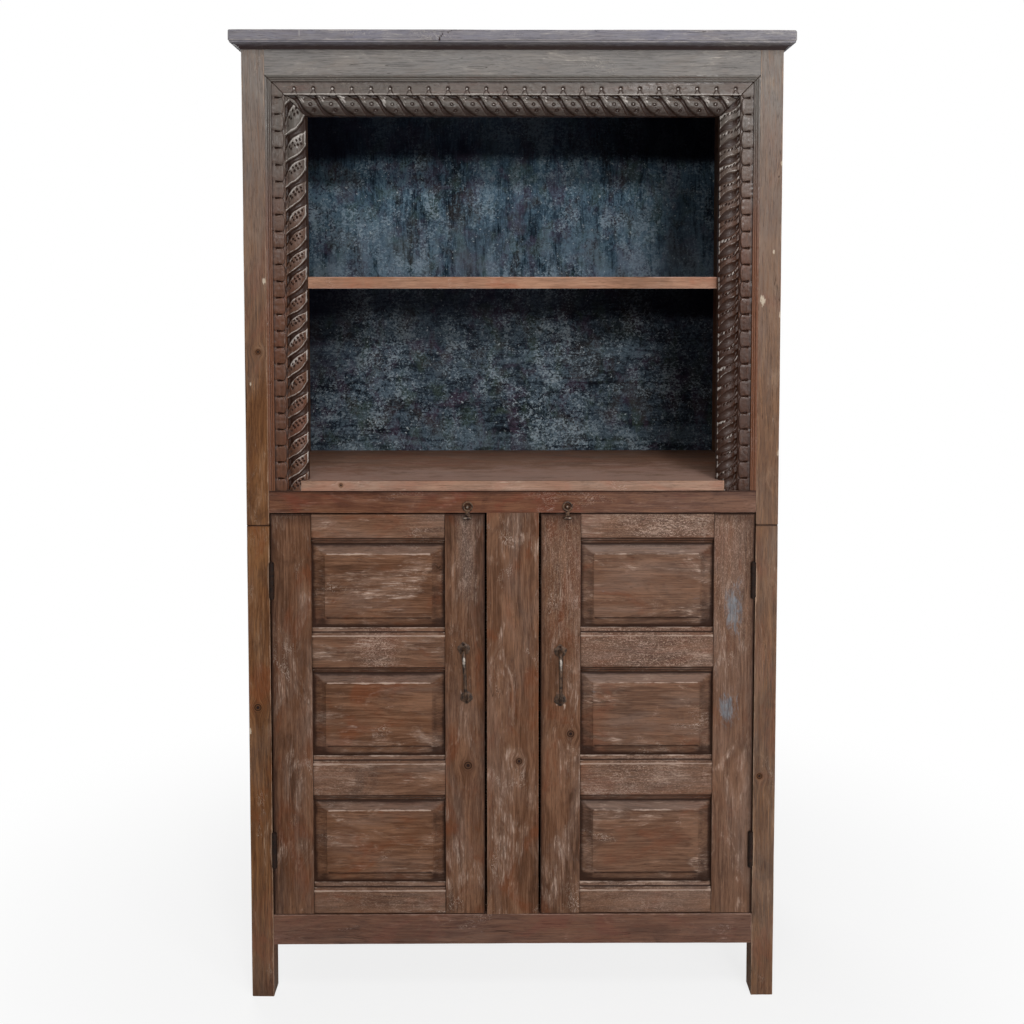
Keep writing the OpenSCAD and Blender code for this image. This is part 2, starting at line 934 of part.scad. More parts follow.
// A leaf with its knuckles: the frame leaf has the outer two, and the door leaf the middle one
module hinge_leaf(side, own, others) {
    difference() {
        union() {
            sided(side)
                block([leaf_gap / 2, 0, -hinge_h / 2], [leaf_gap / 2 + leaf_t, leaf_reach, hinge_h / 2]);
            for (k = own)
                knuckle(k[0], k[1], knuckle_d);
        }
        for (k = others)
            knuckle(k[0] - knuckle_gap, k[1] + knuckle_gap, knuckle_d + 2 * knuckle_gap);
        knuckle(-hinge_h, hinge_h, pin_d + 2 * run_fit);
        leaf_nails(side, run_fit);
    }
}

function outer_knuckles() = [[-hinge_h / 2, -knuckle_h / 2], [knuckle_h / 2, hinge_h / 2]];
function inner_knuckle() = [[-knuckle_h / 2, knuckle_h / 2]];

module hinge_frame_leaves() {
    color(IRON)
        for (side = [LEFT, RIGHT])
            sided(side)
                at_hinges()
                    hinge_leaf(RIGHT, outer_knuckles(), inner_knuckle());
}

module hinge_door_leaves(side) {
    color(IRON)
        sided(side)
            at_hinges()
                hinge_leaf(LEFT, inner_knuckle(), outer_knuckles());
}

module hinge_pins() {
    color(IRON)
        for (side = [LEFT, RIGHT])
            sided(side)
                at_hinges() {
                    knuckle(-hinge_h / 2 - over / 2, hinge_h / 2 + over / 2, pin_d);
                    for (end = [0, 1])
                        mirror([0, 0, end])
                            knuckle(hinge_h / 2, hinge_h / 2 + pin_head_h, pin_head_d);
                }
}

module frame_nails() {
    color(IRON)
        for (side = [LEFT, RIGHT])
            sided(side)
                at_hinges()
                    leaf_nails(RIGHT);
}

module door_nails(side) {
    color(IRON) {
        sided(side)
            at_hinges()
                leaf_nails(LEFT);
        at_handle(side)
            handle_nails();
    }
}

// Handles: drawn round the middle of the bar's ends, with the door's face at Y = 0

module at_handle(side) {
    rise = side == LEFT ? handle_rise_left : handle_rise_right;
    lean = side == LEFT ? handle_lean_left : 0;
    translate([side * handle_x, 0, door_z + rise])
        rotate([0, -lean, 0])
            children();
}

module handle_nails(grow = 0) {
    for (end = [0, 1])
        mirror([0, 0, end])
            translate([0, -leaf_end_t, handle_span / 2 + handle_nail_rise])
                rotate([0, 0, 90])
                    nail(grow);
}

// Outline of a leaf-shaped end, with its tip towards +Y
module leaf_end_outline() {
    lobe_r = leaf_end_r * 0.62;
    circle(r = leaf_end_r);
    for (s = [-1, 1])
        translate([s * leaf_end_r * 0.82, leaf_end_r * 0.3])
            circle(r = lobe_r);
    polygon([
        [-leaf_end_r, leaf_end_r * 0.4],
        [-leaf_end_r * 0.5, handle_nail_rise + nail_head_d * 0.6],
        [0, handle_nail_rise + nail_head_d * 1.1],
        [leaf_end_r * 0.5, handle_nail_rise + nail_head_d * 0.6],
        [leaf_end_r, leaf_end_r * 0.4],
    ]);
}

// One end of the handle: the leaf, the leg and the bend
module handle_end(d) {
    bar_y = bar_top_d / 2 - handle_reach;
    translate([0, 0, handle_span / 2])
        rotate([90, 0, 0])
            linear_extrude(leaf_end_t)
                leaf_end_outline();
    translate([0, -over / 2, handle_span / 2])
        rotate([90, 0, 0])
            cylinder(d = d, h = -bar_y - bar_bend - over / 2);
    translate([0, bar_y + bar_bend, handle_span / 2 - bar_bend])
        rotate([90, 0, -90])
            rotate_extrude(angle = 90)
                translate([bar_bend, 0])
                    circle(d = d, $fn = 32);
}

module handle(side) {
    bar_y = bar_top_d / 2 - handle_reach;
    bar_l = handle_span - 2 * bar_bend;
    color(IRON)
        at_handle(side)
            difference() {
                union() {
                    handle_end(bar_top_d);
                    mirror([0, 0, 1])
                        handle_end(bar_foot_d);
                    translate([0, bar_y, -bar_l / 2])
                        cylinder(d1 = bar_foot_d, d2 = bar_top_d, h = bar_l);
                }
                handle_nails(run_fit);
            }
}

// Latches: drawn round the pin of the staple, with the door's face at Y = latch_out

module at_latch(side) {
    inset = side == LEFT ? latch_inset_left : latch_inset_right;
    translate([side * (door_free_x + inset), -latch_out, latch_z])
        children();
}

module staple(grow = 0) {
    rotate([0, 90, 0])
        cylinder(d = wire_d, h = staple_w, center = true);
    for (s = [-1, 1])
        translate([s * staple_w / 2, 0, 0]) {
            sphere(d = wire_d);
            rotate([-90, 0, 0])
                cylinder(d = wire_d + 2 * grow, h = latch_out + driven + grow);
        }
}

module hasp(side) {
    eye_w = staple_w - wire_d - 2 * knuckle_gap;
    plate_y = latch_out - hasp_gap;
    color(IRON)
        at_latch(side)
            difference() {
                union() {
                    rotate([0, 90, 0])
                        cylinder(d = hasp_eye_d, h = eye_w, center = true);
                    translate([0, plate_y, 0])
                        rotate([90, 0, 0])
                            linear_extrude(hasp_t) {
                                translate([0, hasp_rise])
                                    circle(d = hasp_ring_d);
                                translate([-hasp_tongue_w / 2, -0.5])
                                    square([hasp_tongue_w, hasp_rise]);
                            }
                }
                rotate([0, 90, 0])
                    cylinder(d = wire_d + 2 * run_fit, h = staple_w, center = true);
                translate([0, plate_y + over, hasp_rise])
                    rotate([90, 0, 0])
                        cylinder(d = hasp_hole_d, h = latch_out + hasp_t + over);
            }
}

// Domed stud on the rail over a latch, with its shank in the wood
module stud(grow = 0) {
    translate([0, latch_out, hasp_rise]) {
        rotate([-90, 0, 0])
            cylinder(d = stud_d / 2 + 2 * grow, h = driven + grow);
        rotate([90, 0, 0])
            cylinder(d = stud_d, h = stud_h - stud_d / 2);
        translate([0, stud_d / 2 - stud_h, 0])
            sphere(d = stud_d);
    }
}

module latch_staple(side) {
    color(IRON)
        at_latch(side)
            staple();
}

module latch_studs() {
    color(IRON)
        for (side = [LEFT, RIGHT])
            at_latch(side)
                stud();
}

placed() {
    front_lower_post(LEFT);  // front_left_lower_post
    front_upper_post(LEFT);  // front_left_upper_post
    front_lower_post(RIGHT);  // front_right_lower_post
    front_upper_post(RIGHT);  // front_right_upper_post
    rear_post(LEFT);  // rear_left_post
    rear_post(RIGHT);  // rear_right_post
    top_board();
    cornice_front();
    cornice_side(LEFT);  // cornice_left
    cornice_side(RIGHT);  // cornice_right
    header_rail();
    middle_rail();
    bottom_rail();
    mullion();
    sill_board();
    display_shelf();
    cupboard_floor();
    cupboard_shelf();
    side_boards(LEFT);  // left_side_boards
    side_boards(RIGHT);  // right_side_boards
    side_rail(LEFT, header_z, header_h);  // left_side_rail_top
    side_rail(LEFT, middle_rail_z, middle_rail_h);  // left_side_rail_middle
    side_rail(LEFT, leg_h, bottom_rail_h);  // left_side_rail_bottom
    side_rail(RIGHT, header_z, header_h);  // right_side_rail_top
    side_rail(RIGHT, middle_rail_z, middle_rail_h);  // right_side_rail_middle
    side_rail(RIGHT, leg_h, bottom_rail_h);  // right_side_rail_bottom
    rear_rail(header_z, header_h);  // rear_rail_top
    rear_rail(middle_rail_z, middle_rail_h);  // rear_rail_middle
    rear_rail(leg_h, bottom_rail_h);  // rear_rail_bottom
    back_panel(middle_rail_z + middle_rail_h / 2, case_z);  // back_panel_upper
    back_panel(leg_h, middle_rail_z + middle_rail_h / 2);  // back_panel_lower
    carved_side(LEFT);  // carved_frame_left
    carved_side(RIGHT);  // carved_frame_right
    carved_top();  // carved_frame_top
    hinge_stile(LEFT);  // left_door_hinge_stile
    lock_stile(LEFT);  // left_door_lock_stile
    door_top_rail(LEFT);  // left_door_top_rail
    door_cross_rails(LEFT);  // left_door_cross_rails
    door_bottom_rail(LEFT);  // left_door_bottom_rail
    door_panels(LEFT);  // left_door_panels
    hinge_stile(RIGHT);  // right_door_hinge_stile
    lock_stile(RIGHT);  // right_door_lock_stile
    door_top_rail(RIGHT);  // right_door_top_rail
    door_cross_rails(RIGHT);  // right_door_cross_rails
    door_bottom_rail(RIGHT);  // right_door_bottom_rail
    door_panels(RIGHT);  // right_door_panels
    hinge_frame_leaves();
    hinge_door_leaves(LEFT);  // left_hinge_door_leaves
    hinge_door_leaves(RIGHT);  // right_hinge_door_leaves
    hinge_pins();
    frame_nails();
    door_nails(LEFT);  // left_door_nails
    door_nails(RIGHT);  // right_door_nails
    handle(LEFT);  // left_handle
    handle(RIGHT);  // right_handle
    latch_studs();
    latch_staple(LEFT);  // left_latch_staple
    latch_staple(RIGHT);  // right_latch_staple
    hasp(LEFT);  // left_hasp
    hasp(RIGHT);  // right_hasp
}
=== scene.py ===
"""Weathered cabinet bookcase: an open bay in a carved frame over a cupboard with two panelled doors."""

import collections
import itertools
import json
import math

import bpy
import numpy as np
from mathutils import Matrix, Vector

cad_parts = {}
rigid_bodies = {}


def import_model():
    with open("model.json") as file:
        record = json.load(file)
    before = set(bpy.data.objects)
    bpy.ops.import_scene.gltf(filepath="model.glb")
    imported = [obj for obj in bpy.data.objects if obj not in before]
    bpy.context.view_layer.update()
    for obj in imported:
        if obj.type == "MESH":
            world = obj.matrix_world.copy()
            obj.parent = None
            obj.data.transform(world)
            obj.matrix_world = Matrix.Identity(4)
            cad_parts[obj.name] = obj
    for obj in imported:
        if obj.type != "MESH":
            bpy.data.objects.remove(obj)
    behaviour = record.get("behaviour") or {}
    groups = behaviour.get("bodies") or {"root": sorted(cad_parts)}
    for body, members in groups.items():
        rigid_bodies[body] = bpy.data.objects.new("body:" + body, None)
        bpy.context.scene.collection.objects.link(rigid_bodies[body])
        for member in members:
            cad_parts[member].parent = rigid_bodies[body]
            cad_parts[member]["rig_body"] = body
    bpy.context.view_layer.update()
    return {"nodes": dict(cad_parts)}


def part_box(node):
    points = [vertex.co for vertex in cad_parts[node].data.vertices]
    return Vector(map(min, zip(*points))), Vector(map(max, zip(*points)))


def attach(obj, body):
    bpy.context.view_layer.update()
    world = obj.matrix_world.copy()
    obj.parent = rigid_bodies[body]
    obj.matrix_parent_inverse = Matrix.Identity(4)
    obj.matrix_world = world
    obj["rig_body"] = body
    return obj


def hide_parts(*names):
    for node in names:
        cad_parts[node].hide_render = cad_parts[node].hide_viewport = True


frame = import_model()

MM = 0.001
LEFT, RIGHT = -1, 1
SIDES = {LEFT: "left", RIGHT: "right"}

# Planes of the carcass, taken from the frame

post_low, post_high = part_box("front_right_lower_post")
POST_IN, POST_OUT = post_low.x, post_high.x
FACE_Y, POST_BACK_Y = post_low.y, post_high.y
BACK_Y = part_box("rear_right_post")[1].y
CARVED_LOW, CARVED_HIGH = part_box("carved_frame_right")
OPENING_X = CARVED_LOW.x
OPENING_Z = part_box("carved_frame_top")[0].z
CARVE_W = POST_IN - OPENING_X
RAIL_BACK_Y = CARVED_HIGH.y
SILL_LOW, SILL_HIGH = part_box("sill_board")
DOOR_LOW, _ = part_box("right_door_lock_stile")
_, DOOR_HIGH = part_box("right_door_hinge_stile")
DOOR_BACK_Y = DOOR_HIGH.y

# Parts of a door, in metres

STILE_W = 76 * MM
TOP_RAIL_H = 46 * MM
CROSS_RAIL_H = 60 * MM
BOTTOM_RAIL_H = 44 * MM
MOULD_BELOW = 12 * MM
MOULD_ABOVE = 15 * MM
MOULD_SUNK = 7 * MM
PANEL_BACK = 15 * MM
PANEL_EDGE = 9 * MM
FIELD_SUNK = 4 * MM
FIELD_STEP = 0.9 * MM
BEVEL_SIDE = 25 * MM
BEVEL_END = 20 * MM
TONGUE = 7 * MM
GAP_WORN = 0.8 * MM


# Noise: smooth, seeded and the same on every run


def lattice(cell, seed):
    """A fixed number from -1 to 1 for each cell of a grid."""
    mix = cell[:, 0] * 374761393 + cell[:, 1] * 668265263 + cell[:, 2] * 1442695041 + seed * 974634777
    mix = (mix ^ (mix >> 13)) & 0xFFFFFFFF
    mix = (mix * 1274126177) & 0xFFFFFFFF
    mix = mix ^ (mix >> 16)
    return mix / 0x7FFFFFFF - 1


def noise(points, size, seed):
    """Smooth noise from -1 to 1 with lumps of this size, at points of shape (n, 3)."""
    scaled = points / np.asarray(size)
    base = np.floor(scaled)
    part = scaled - base
    part = part * part * (3 - 2 * part)
    base = base.astype(np.int64)
    total = np.zeros(len(points))
    for corner in itertools.product((0, 1), repeat=3):
        weight = np.prod(np.where(corner, part, 1 - part), axis=1)
        total += weight * lattice(base + np.array(corner), seed)
    return total


def layered(points, size, seed, layers=3):
    """Noise with finer and weaker layers on top."""
    total = np.zeros(len(points))
    for i in range(layers):
        total += noise(points, np.asarray(size) / 2**i, seed + i) / 2**i
    return total


def flat_noise(a, b, size, seed, layers=1):
    """Noise over two grids of coordinates, with lumps of this size in millimetres."""
    points = np.stack([a.ravel(), b.ravel(), np.zeros(a.size)], -1)
    return layered(points, np.array([*size, 1]) * MM, seed, layers).reshape(a.shape)


def cell_value(cell, seed):
    """A fixed number from -1 to 1 for each whole number of a grid."""
    index = np.zeros((cell.size, 3), np.int64)
    index[:, 0] = cell.ravel()
    return lattice(index, seed).reshape(cell.shape)


# Falloffs, all from 0 to 1


def share_of(value, low, high):
    """0 below low, 1 above high and straight between."""
    return np.clip((value - low) / (high - low), 0, 1)


def step_up(value, low, high):
    """0 below low, 1 above high and smooth between."""
    share = share_of(value, low, high)
    return share * share * (3 - 2 * share)


def hump(value, middle, reach):
    """1 at the middle, falling off smoothly on both sides."""
    return np.exp(-((value - middle) / reach) ** 2)


# Meshes

draws = np.random.default_rng(11)
FAR = 100.0
FIBRES_FIRST = {"x": (0, 1, 2), "y": (1, 2, 0), "z": (2, 0, 1)}


def make_mesh(name, points, faces, layers, crease=50):
    """A mesh object with smooth shading and named values on its points."""
    mesh = bpy.data.meshes.new(name)
    mesh.from_pydata(points.tolist(), [], faces)
    mesh.validate()
    for key, values in layers.items():
        kind, target = ("FLOAT_VECTOR", "vector") if values.ndim == 2 else ("FLOAT", "value")
        attribute = mesh.attributes.new(key, kind, "POINT")
        attribute.data.foreach_set(target, values.astype(np.float32).ravel())
    mesh.shade_smooth()
    mesh.set_sharp_from_angle(angle=math.radians(crease))
    obj = bpy.data.objects.new(name, mesh)
    bpy.context.scene.collection.objects.link(obj)
    return obj


def knots_of(points, knots):
    """Offset from the nearest knot in knot radii, with the fibre direction first."""
    offset = np.full((len(points), 3), FAR)
    best = np.full(len(points), FAR)
    for centre, radius, along in knots:
        local = ((points - np.array(centre)) / radius)[:, FIBRES_FIRST[along]]
        far = np.linalg.norm(local, axis=1)
        closer = far < best
        offset[closer] = local[closer]
        best[closer] = far[closer]
    return offset


def plain_layers(points, along, knots=()):
    """The values on every wooden piece before rubbing, grime and painted light and shade. An offset makes
    each board's grain its own.
    """
    layers = {key: np.zeros(len(points)) for key in ("wear", "dirt", "tint", "paint", "flaked")}
    layers["grain"] = points[:, FIBRES_FIRST[along]] + draws.uniform(-3, 3, 3)
    layers["knot"] = knots_of(points, knots)
    return layers


def at_least(layers, key, values):
    """Raises a piece's values to these where they are lower."""
    layers[key] = np.maximum(layers[key], values)


def declare(obj, node, material):
    """Gives a piece its material and slot, and lets it stand for its CAD node on that node's body."""
    obj.data.materials.append(material)
    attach(obj, frame["nodes"][node]["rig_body"])
    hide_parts(node)


def edge_lines(low, high, radius, step):
    """Grid lines between two faces of a board, close together in its rounded edges."""
    rounding = [radius * (1 - turn) for turn in (1, 0.7, 0.42, 0.2, 0)] + [radius * 2]
    if high - low < 4.4 * radius:
        rounding.pop()
    *outer, last = rounding
    inner_low, inner_high = low + last, high - last
    count = max(1, round((inner_high - inner_low) / step))
    middle = np.linspace(inner_low, inner_high, count + 1)
    return np.concatenate([[low + r for r in outer], middle, [high - r for r in reversed(outer)]])


def quads(index):
    """Four-sided faces between the neighbouring points of a grid."""
    return np.stack([index[:-1, :-1], index[1:, :-1], index[1:, 1:], index[:-1, 1:]], -1).reshape(-1, 4)


def strips(rings, count, end="open"):
    """Faces between neighbouring rings of points. The end is open, capped or joined to the start."""
    index = np.arange(rings * count).reshape(rings, count)
    after = np.roll(index, -1, axis=1)
    faces = np.stack([index, after, np.roll(after, -1, axis=0), np.roll(index, -1, axis=0)], -1)
    faces = faces[:rings if end == "joined" else rings - 1].reshape(-1, 4).tolist()
    if end == "capped":
        faces += [index[0, ::-1].tolist(), index[-1].tolist()]
    return faces


def board_grid(low, high, radius, step, marks, marked):
    """Points and faces of a box whose sides share one set of grid lines, finer at the marks of one axis."""
    lines = [edge_lines(low[i], high[i], radius, step[i]) for i in range(3)]
    close = [mark + k * 0.8 * MM for mark in marks for k in range(-4, 5)]
    lines[marked] = np.array(sorted({*lines[marked], *close}))
    points, faces, start = [], [], 0
    for axis in range(3):
        a, b = (axis + 1) % 3, (axis + 2) % 3
        for end, level in enumerate((low[axis], high[axis])):
            block = np.zeros((len(lines[a]), len(lines[b]), 3))
            block[..., axis] = level
            block[..., a], block[..., b] = np.meshgrid(lines[a], lines[b], indexing="ij")
            points.append(block.reshape(-1, 3))
            side = quads(start + np.arange(len(points[-1])).reshape(block.shape[:2]))
            faces.append(side if end else side[:, ::-1])
            start += len(points[-1])
    points = np.concatenate(points)
    keys = np.round(points * 1e6).astype(np.int64)
    _, first, joined = np.unique(keys, axis=0, return_index=True, return_inverse=True)
    return points[first], joined.ravel()[np.concatenate(faces)]


def board(node, low, high, along, material, radius=2.2 * MM, step=12 * MM, wave=0.5 * MM, knots=(),
          shape=None, tint=None, worn=1.0, marks=(), marked="y"):
    """A sawn and worn board: a box with uneven rounded edges, shallow waves and dented corners.

    shape moves its points and tint changes its values. The grid is finer at the marks on the marked axis.
    """
    low, high = np.array(low, float), np.array(high, float)
    seed = int(draws.integers(1, 9999))
    steps = [min(step * (3.0 if axis == along else 1.0), 24 * MM) for axis in "xyz"]
    points, faces = board_grid(low, high, radius, steps, marks, "xyz".index(marked))
    stretch = np.array([90 if axis == along else 30 for axis in "xyz"]) * MM
    wander = layered(points, stretch, seed)
    local = radius * np.clip(0.55 + 0.45 * wander, 0.12, 1)
    gaps = np.sort(np.concatenate([points - low, high - points], axis=1), axis=1)
    edge = gaps[:, 1]
    inner = np.clip(points, low + local[:, None], high - local[:, None])
    away = points - inner
    length = np.linalg.norm(away, axis=1, keepdims=True)
    normal = away / np.maximum(length, 1e-9)
    rounded = inner + normal * local[:, None]
    uneven = np.clip(0.5 + 0.4 * layered(points, stretch * 1.3, seed + 50), 0, 1)
    sink = wave * uneven * np.clip(edge / (3 * radius), 0, 1)
    rounded -= normal * sink[:, None]
    layers = plain_layers(points, along, knots)
    layers["wear"] = worn * np.exp(-edge / (1.1 * radius))
    if shape:
        rounded = shape(rounded, layers)
    if tint:
        tint(rounded, layers)
    declare(make_mesh(node + "_wood", rounded, faces.tolist(), layers, crease=60), node, material)


def blur(field, reach):
    """Average of a grid over a square of cells."""
    width = 2 * reach + 1
    for axis in (0, 1):
        padded = np.pad(field, [(reach, reach) if i == axis else (0, 0) for i in (0, 1)], mode="edge")
        total = np.insert(np.cumsum(padded, axis=axis), 0, 0, axis=axis)
        long = field.shape[axis]
        upper = np.take(total, range(width, width + long), axis=axis)
        lower = np.take(total, range(long), axis=axis)
        field = (upper - lower) / width
    return field


def slab_mesh(front, back):
    """Points, faces and front rim of a slab, from its front grid and the points of its flat back."""
    rows, columns = front.shape[:2]
    index = np.arange(rows * columns).reshape(rows, columns)
    ring = np.concatenate([index[:-1, 0], index[-1, :-1], index[:0:-1, -1], index[0, :0:-1]])
    behind = rows * columns + np.arange(len(ring))
    points = np.concatenate([front.reshape(-1, 3), back.reshape(-1, 3)[ring]])
    walls = np.stack([ring, behind, np.roll(behind, -1), np.roll(ring, -1)], -1)
    return points, quads(index).tolist() + walls.tolist() + [behind[::-1].tolist()], ring


def wound_outward(points, faces):
    """The faces, turned round if they enclose a negative volume."""
    fans = np.array([(face[0], b, c) for face in faces for b, c in zip(face[1:-1], face[2:])])
    a, b, c = points[fans].transpose(1, 0, 2)
    volume = np.einsum("ij,ij->", a, np.cross(b, c))
    return faces if volume > 0 else [face[::-1] for face in faces]


def slab(node, place, across, along_lines, depth, back_depth, along, material, name=None, cavity=(1, 2),
         painted=None, rub=0.8, soil=1.6):
    """A piece with a carved or moulded face. place turns (across, along, depth) grids into points.

    painted adds grids of values to what the hollows and edges give: grime with painted shade in the hollows,
    and pale rubbed ridges. The flat back stays plain.
    """
    front = place(across, along_lines, depth)
    back = place(across, along_lines, np.full_like(depth, back_depth))
    points, faces, ring = slab_mesh(front, back)
    faces = wound_outward(points, faces)
    # Hollows get grime and painted shade, and ridges are rubbed pale
    hollow = sum((depth - blur(depth, reach)) / MM for reach in cavity) / len(cavity)
    grids = {"wear": np.clip(-hollow * rub, 0, 1), "dirt": np.clip(hollow * soil, 0, 1)}
    for key, grid in painted.items():
        grids[key] = np.clip(grids.get(key, 0) + grid, 0, 1)
    layers = plain_layers(points, along)
    for key, grid in grids.items():
        layers[key] = np.concatenate([grid.ravel(), np.zeros(len(ring))])
    declare(make_mesh(name or node + "_wood", points, faces, layers, crease=65), node, material)


def lines_through(marks, step, tight=()):
    """Grid lines from the first mark to the last, on every mark, and doubled just beside the tight ones."""
    lines = set()
    for a, b in zip(marks[:-1], marks[1:]):
        count = max(1, round((b - a) / step))
        lines.update(np.round(np.linspace(a, b, count + 1), 7))
    for mark in tight:
        lines.update((round(mark - 0.35 * MM, 7), round(mark + 0.35 * MM, 7)))
    return np.array(sorted(line for line in lines if marks[0] - 1e-9 <= line <= marks[-1] + 1e-9))


# Materials


def colour(code):
    """A linear colour from its sRGB hex code."""
    parts = [int(code[i:i + 2], 16) / 255 for i in (1, 3, 5)]
    return tuple(p / 12.92 if p < 0.04045 else ((p + 0.055) / 1.055) ** 2.4 for p in parts) + (1.0,)


class Value:
    """A node's output, which can be added, subtracted and multiplied."""

    def __init__(self, graph, socket):
        self.graph, self.socket = graph, socket

    def __add__(self, other):
        return self.graph.math("ADD", self, other)

    def __sub__(self, other):
        return self.graph.math("SUBTRACT", self, other)

    def __mul__(self, other):
        return self.graph.math("MULTIPLY", self, other)


class Graph:
    """A short way to write the nodes of a material or a world. Colours are written as hex codes."""

    def __init__(self, owner):
        self.owner = owner
        owner.use_nodes = True
        self.tree = owner.node_tree
        self.tree.nodes.clear()
        self.base = None

    def put(self, socket, value):
        if isinstance(value, Value):
            self.tree.links.new(value.socket, socket)
        elif value is not None:
            socket.default_value = colour(value) if isinstance(value, str) else value

    def add(self, kind, inputs=None, out=0, **settings):
        """A new node and what comes out of it."""
        node = self.tree.nodes.new("ShaderNode" + kind)
        for key, value in settings.items():
            setattr(node, key, value)
        for key, value in (inputs or {}).items():
            self.put(node.inputs[key], value)
        return Value(self, node.outputs[out])

    def layer(self, name, out="Fac"):
        return self.add("Attribute", out=out, attribute_name=name)

    def place(self):
        return self.add("TexCoord", out="Object")

    def math(self, kind, a, b=0.0, clamp=False):
        return self.add("Math", {0: a, 1: b}, operation=kind, use_clamp=clamp)

    def vectors(self, kind, a, b=None):
        return self.add("VectorMath", {0: a, 1: b}, out="Value" if kind == "LENGTH" else 0, operation=kind)

    def sideways(self, y, z):
        return self.add("CombineXYZ", {"Y": y, "Z": z})

    def noise(self, vector, scale, offset=(0, 0, 0), detail=3.0, rough=0.55, bend=0.0):
        """Noise with so many lumps in a metre: along the fibres, then across them."""
        spot = self.add("Mapping", {"Vector": vector, "Scale": (*scale, scale[-1])[:3], "Location": offset})
        return self.add("TexNoise", {
            "Vector": spot, "Scale": 1.0, "Detail": detail, "Roughness": rough, "Distortion": bend})

    def ramp(self, value, low, high, to_low=0.0, to_high=1.0):
        return self.add("MapRange", {
            "Value": value, "From Min": low, "From Max": high, "To Min": to_low, "To Max": to_high,
        }, interpolation_type="SMOOTHSTEP")

    def mix(self, factor, a, b):
        """Colour a where the factor is 0, and b where it is 1."""
        return self.add("Mix", {0: factor, 6: a, 7: b}, out=2, data_type="RGBA", clamp_factor=True)

    def coat(self, shade, cover, amount=None):
        """Lays a colour over the base, as far as cover says."""
        self.base = self.mix(cover if amount is None else cover * amount, self.base, shade)

    def bump(self, height, distance, strength=1.0, normal=None):
        return self.add("Bump", {
            "Height": height, "Distance": distance, "Strength": strength, "Normal": normal})

    def finish(self, rough, normal, metallic=0.0, specular=0.5):
        """The finished material, with its base colour, roughness and relief."""
        self.output(self.add("BsdfPrincipled", {
            "Base Color": self.base, "Roughness": rough, "Normal": normal, "Metallic": metallic,
            "Specular IOR Level": specular}))
        return self.owner

    def output(self, shader, kind="Material"):
        node = self.tree.nodes.new("ShaderNodeOutput" + kind)
        self.put(node.inputs["Surface"], shader)


# Shades that all the woods share

FLECK = "#d0c4b8"
CHALK = "#c9bdb0"
BLUE_DARK, BLUE_PALE = "#4f5257", "#7f8890"
CHECK_DARK = "#1c120d"
KNOT_HEART = "#1f1410"
BARE_WOOD = "#b9ab98"
# The dark brown of grime, also laid on as painted shade
GRIME_AND_SHADE = "#23120b"


